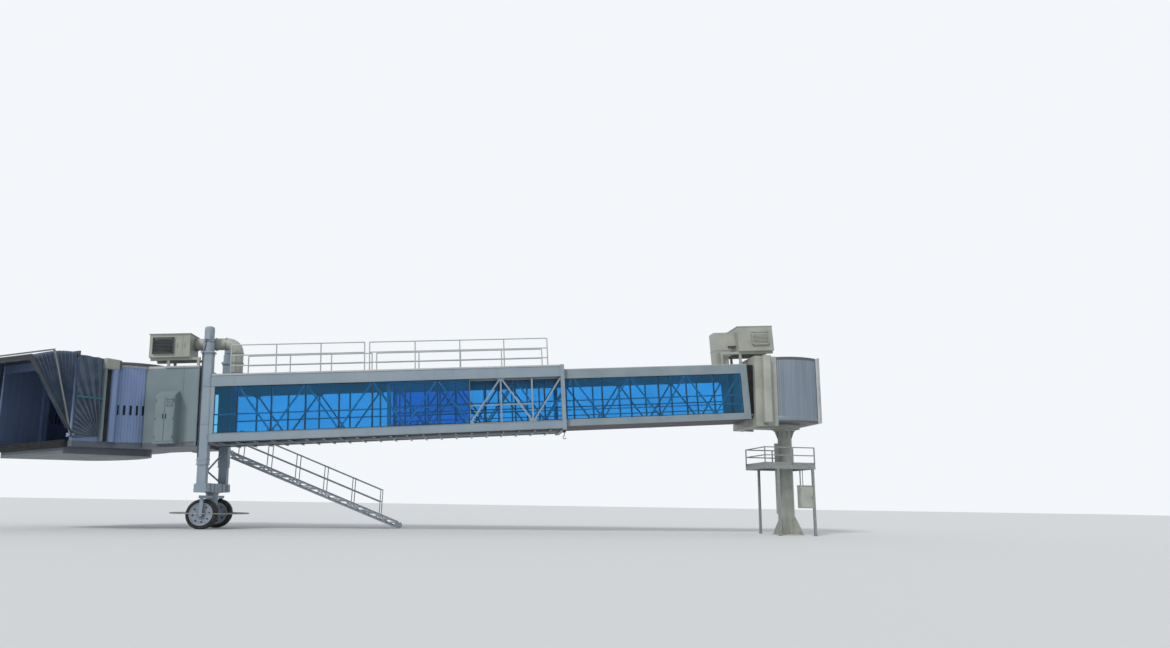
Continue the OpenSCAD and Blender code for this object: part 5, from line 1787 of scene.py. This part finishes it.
@dataclass
class Cab(Assembly):
    """The turning cab with its bumper and canopy."""

    local: ClassVar[LocalFrame] = CAB
    body: ClassVar[str] = "cab"
    coats: ClassVar[dict[str, Coat]] = {
        "cab_floor": Coat.UNDER,
        "cab_roof": Coat.RIM,
        "cab_walls": Coat.BLUE_SLATS,
        "cab_bumper": Coat.SEAL,
        "canopy_mid_hoop": Coat.ZINC,
        "canopy_front_hoop": Coat.DARK,
    }

    half: float = 1.62
    barrel_x: float = 1.641
    front: float = 3.05
    floor: float = -0.025
    roof_low: float = 2.675
    ceiling: float = 2.58
    roof_top: float = 2.76
    pivot_x: float = 3.11
    pivot_z: float = 0.15
    cloth_half: float = 1.56
    cloth_r: float = 2.715
    hem_r: float = 0.22
    corner: float = 0.10
    rear_deg: float = 91.2
    front_deg: float = 55.0
    pleats: int = 12
    pleat_half: float = 0.028
    skirt_x: float = 2.11
    skirt_z: float = 0.14
    skirt_fan_deg: float = 96.0
    skirt_folds: int = 11
    skirt_steps: int = 110
    beacon: Pair = (2.42, 0.6)

    def build(self) -> None:
        """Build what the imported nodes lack."""
        self._canopy()
        self._bumper()
        self._walls()
        self._casings()
        for side in Side:
            self._skirt(side)
            self._band(side)
        self._posts()
        self._jambs()
        self._top()

    def _cloth_path(self) -> list[tuple]:
        """Return the cloth's way round a hoop.

        Returns:
            Radius, place across and the outward direction of each point.
        """
        half, corner = self.cloth_half, self.corner
        radii = [self.hem_r + (self.cloth_r - self.hem_r) * k / 10 for k in range(10)]
        leg = [(r, half, 0.0, 1.0) for r in radii]
        leg.append((self.cloth_r - corner, half, 0.0, 1.0))
        leg.append((self.cloth_r - corner * 0.3, half - corner * 0.3, 0.7, 0.7))
        crown = [(self.cloth_r, -half + 2 * half * k / 14, 1.0, 0.0) for k in range(1, 14)]
        return [(r, -w, out, -across) for r, w, out, across in leg] + crown + leg[::-1]

    def _canopy(self) -> None:
        """Fold the canopy's cloth from the cab to the front hoop."""
        piece = Piece("canopy_cloth", None, CAB)
        path = self._cloth_path()
        steps = self.pleats * 2
        rows = []
        for k in range(steps + 1):
            share = k / steps
            turn = math.radians(self.rear_deg + (self.front_deg + 0.55 - self.rear_deg) * share)
            ridge = -math.cos(2 * math.pi * share * self.pleats)
            sag = 0.05 * math.sin(math.pi * share) ** 2
            row = []
            for r, w, out_r, out_w in path:
                depth = self.pleat_half * min(1.0, r / 1.4) * ridge
                middle = 1 - (w / self.cloth_half) ** 2
                reach = r + out_r * (depth - sag * middle)
                x = self.pivot_x + reach * math.cos(turn)
                z = self.pivot_z + reach * math.sin(turn)
                row.append((max(x, self.front + 0.004), w + out_w * depth, z))
            rows.append(row)
        piece.skin(rows, looped=False)
        made = piece.finish(Coat.CLOTH)
        fore, = circle((self.pivot_x, 0, self.pivot_z), 2.4, Axis.Y, [self.front_deg])
        rear = (self.front, 0, self.pivot_z + 2.4)
        CAB.point(rear)
        CAB.point(fore)
        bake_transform(made)
        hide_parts("canopy_rear_fold", "canopy_front_fold")

    def _bumper(self) -> None:
        """Add ribs to the bumper."""
        piece = self.piece("bumper_ribs")
        face = self.front + 0.108
        rib = [(face, -0.018), (face + 0.02, -0.008), (face + 0.02, 0.008), (face, 0.018)]
        for z in (-0.19, -0.13, -0.07, -0.01):
            piece.prism([(x, z + up) for x, up in rib], -1.44, 1.44, Axis.Y)
        piece.finish(Coat.SEAL)

    def _walls(self) -> None:
        """Add panel joints and strips to the side walls, and the rollers' ends."""
        piece = self.piece("cab_wall_joints")
        half, low, high, out = self.half, self.floor, self.roof_low, self.half + 0.01
        for x in (1.95, 2.40, 2.85):
            piece.pair((x, half, low), (x + 0.025, out, high))
        for z in (low + 0.02, high - 0.08):
            piece.pair((1.9, half, z), (self.front, out, z + 0.04))
        piece.finish(Coat.BLUE_SLATS, 0.002)
        ends = self.piece("cab_roller_ends")
        for _ in ends.both():
            for z in (low, 1.2, 2.43):
                ends.disc((self.barrel_x, half + 0.07, z), Axis.Z, [(0, 0.106), (0.03, 0.106)], 32)
        ends.finish(Coat.ZINC, smooth=True)

    def _casings(self) -> None:
        """Case the curtain drives and guard the rollers."""
        header = self.piece("cab_header_casings")
        guard = self.piece("cab_tube_guards")
        low, inner, outer = self.roof_low - 0.25, self.half - 0.01, self.half + 0.17
        outline = [(1.53, inner), (1.60, outer), (2.12, outer), (2.12, inner)]
        for _ in header.both():
            header.prism(outline, low, self.roof_top + 0.02, Axis.Z)
            header.box((1.64, outer, low + 0.04), (2.08, outer + 0.015, self.roof_top - 0.03))
        header.finish(Coat.CREAM, 0.006, slot="steel_green_grey")
        guide = circle((self.barrel_x, self.half + 0.02, 0), 0.15, Axis.Z, range(-8, 189, 14))
        arc = [point[:2] for point in guide]
        arc += [(arc[-1][0] + 0.015, self.half), (arc[0][0] - 0.015, self.half)]
        for _ in guard.both():
            guard.prism(arc, self.floor + 0.01, low + 0.005, Axis.Z)
        guard.finish(Coat.BLUE_SLATS, smooth=True)

    def _skirt(self, side: Side) -> None:
        """Lay the rear folds of the canopy over one side wall as a fan, with pale rods on the crests as
        painted highlights.

        Args:
            side: the wall's side.
        """
        piece = self.piece("canopy_skirt_" + side.word)
        crest_highlight = self.piece("canopy_crest_highlight_" + side.word)
        right, base, top = self.front + 0.03, 0.05, self.roof_top + 0.01
        folds, steps, hub_r, rise, tiny = self.skirt_folds, self.skirt_steps, 0.02, 0.7, 1e-6
        rays = []
        for k in range(steps + 1):
            turn = math.radians(90 - self.skirt_fan_deg * k / steps)
            out, up = math.cos(turn), math.sin(turn)
            reach = (right - self.skirt_x) / max(out, tiny)
            if abs(up) > tiny:
                reach = min(reach, ((top if up > 0 else base) - self.skirt_z) / up)
            rays.append((out, up, reach))
        rows = []
        for j in range(11):
            row = []
            for k, (out, up, reach) in enumerate(rays):
                r = hub_r + (reach - hub_r) * j / 10
                phase = (k * folds / steps) % 1.0
                crest = phase / rise if phase < rise else (1 - phase) / (1 - rise)
                edge = min(1.0, k / 4, (steps - k) / 4) * min(1.0, r / 0.9)
                lift = 0.012 + 0.075 * crest * edge
                y = side.value * (self.half + lift)
                row.append((self.skirt_x + out * r, y, self.skirt_z + up * r))
            rows.append(row)
        piece.skin(rows, looped=False)
        # Pale rods along each fold's crest: painted highlights standing in for the lit crests of the pleats.
        for fold in range(folds):
            ray = round((fold + rise) * steps / folds)
            crest_highlight.rod(rows[3][ray], rows[10][ray], 0.007, 6)
        crest_highlight.finish(Coat.GREEN, smooth=True, slot="canopy_cloth")
        made = piece.finish(Coat.CLOTH)

    def _band(self, side: Side) -> None:
        """Strap the skirt with a webbing band.

        Args:
            side: the wall's side.
        """
        band = self.piece("canopy_band_" + side.word)
        band.hand = side.value
        start, stop = self.skirt_x - 0.01, self.front + 0.02
        band.box((start, self.half + 0.089, 1.36), (stop, self.half + 0.094, 1.43))
        for x in (start, stop - 0.05):
            band.box((x, self.half - 0.005, 1.345), (x + 0.035, self.half + 0.092, 1.445))
        band.finish(Coat.BAND, 0.002)

    def _posts(self) -> None:
        """Add the rear posts of the canopy, and beside them dark rubber strips that paint the shadow in the
        gap between post and curtain.
        """
        post = self.piece("canopy_rear_posts")
        half = self.half
        post.pair((2.01, half - 0.005, self.floor + 0.005), (2.10, half + 0.11, self.roof_top - 0.002))
        for z in (0.4, 1.2, 2.0):
            post.pair((2.02, half + 0.10, z), (2.09, half + 0.125, z + 0.12))
        post.finish(Coat.GREEN, 0.006)
        # Dark strips on the wall between post and curtain: a painted shadow standing in for the shade in
        # that gap.
        seal = self.piece("cab_painted_shadow_gap")
        low, high = self.floor + 0.01, self.roof_low - 0.24
        for k in range(5):
            x, out = 1.80 + 0.042 * k, half + 0.05 - 0.006 * (k % 2)
            seal.pair((x, half + 0.002, low), (x + 0.038, out, high))
        seal.finish(Coat.SEAL, 0.004)

    def _jambs(self) -> None:
        """Close the gap between curtain and roller inside the cab."""
        jamb = self.piece("cab_curtain_jambs")
        low = self.floor + 0.012
        jamb.pair((1.38, 1.43, low), (1.60, 1.476, self.ceiling))
        jamb.pair((1.50, 1.470, low), (1.62, 1.505, self.ceiling))
        jamb.finish(Coat.BLUE_SLATS, 0.004)

    def _top(self) -> None:
        """Add roof seams and a beacon on its stem."""
        piece = self.piece("cab_roof_seams")
        crest = self.roof_top + 0.022
        seam = [(-0.025, self.roof_top), (-0.01, crest), (0.01, crest), (0.025, self.roof_top)]
        for y in (-1.2, -0.6, 0.0, 0.6, 1.2):
            piece.prism([(y + across, z) for across, z in seam], -1.6, self.front - 0.06, Axis.X)
        piece.finish(Coat.ROOF)
        beacon = self.piece("beacon_lens")
        dome = [(0, 0.045), (0.07, 0.045), (0.10, 0.03), (0.11, 0.005)]
        beacon.disc((*self.beacon, self.roof_top + 0.15), Axis.Z, dome, 24)
        beacon.finish(Coat.RED, smooth=True)
        foot = self.piece("beacon_foot")
        stem = [(0, 0.07), (0.02, 0.065), (0.03, 0.03), (0.12, 0.03), (0.13, 0.05), (0.15, 0.05)]
        foot.disc((*self.beacon, self.roof_top), Axis.Z, stem, 24)
        foot.finish(Coat.DARK, smooth=True)


def main() -> None:
    """Build the bridge and report each piece."""
    logging.basicConfig(level=logging.INFO, format="%(message)s")
    stage = Stage()
    stage.camera()
    stage.light()
    stage.floor()
    for kind in (Rotunda, InnerTunnel, OuterTunnel, Corridor, LiftDrive, ServiceStair, Cab):
        assembly = kind()
        assembly.dress()
        assembly.build()
        log.info("built %s", kind.__name__)


if __name__ == "__main__":
    main()
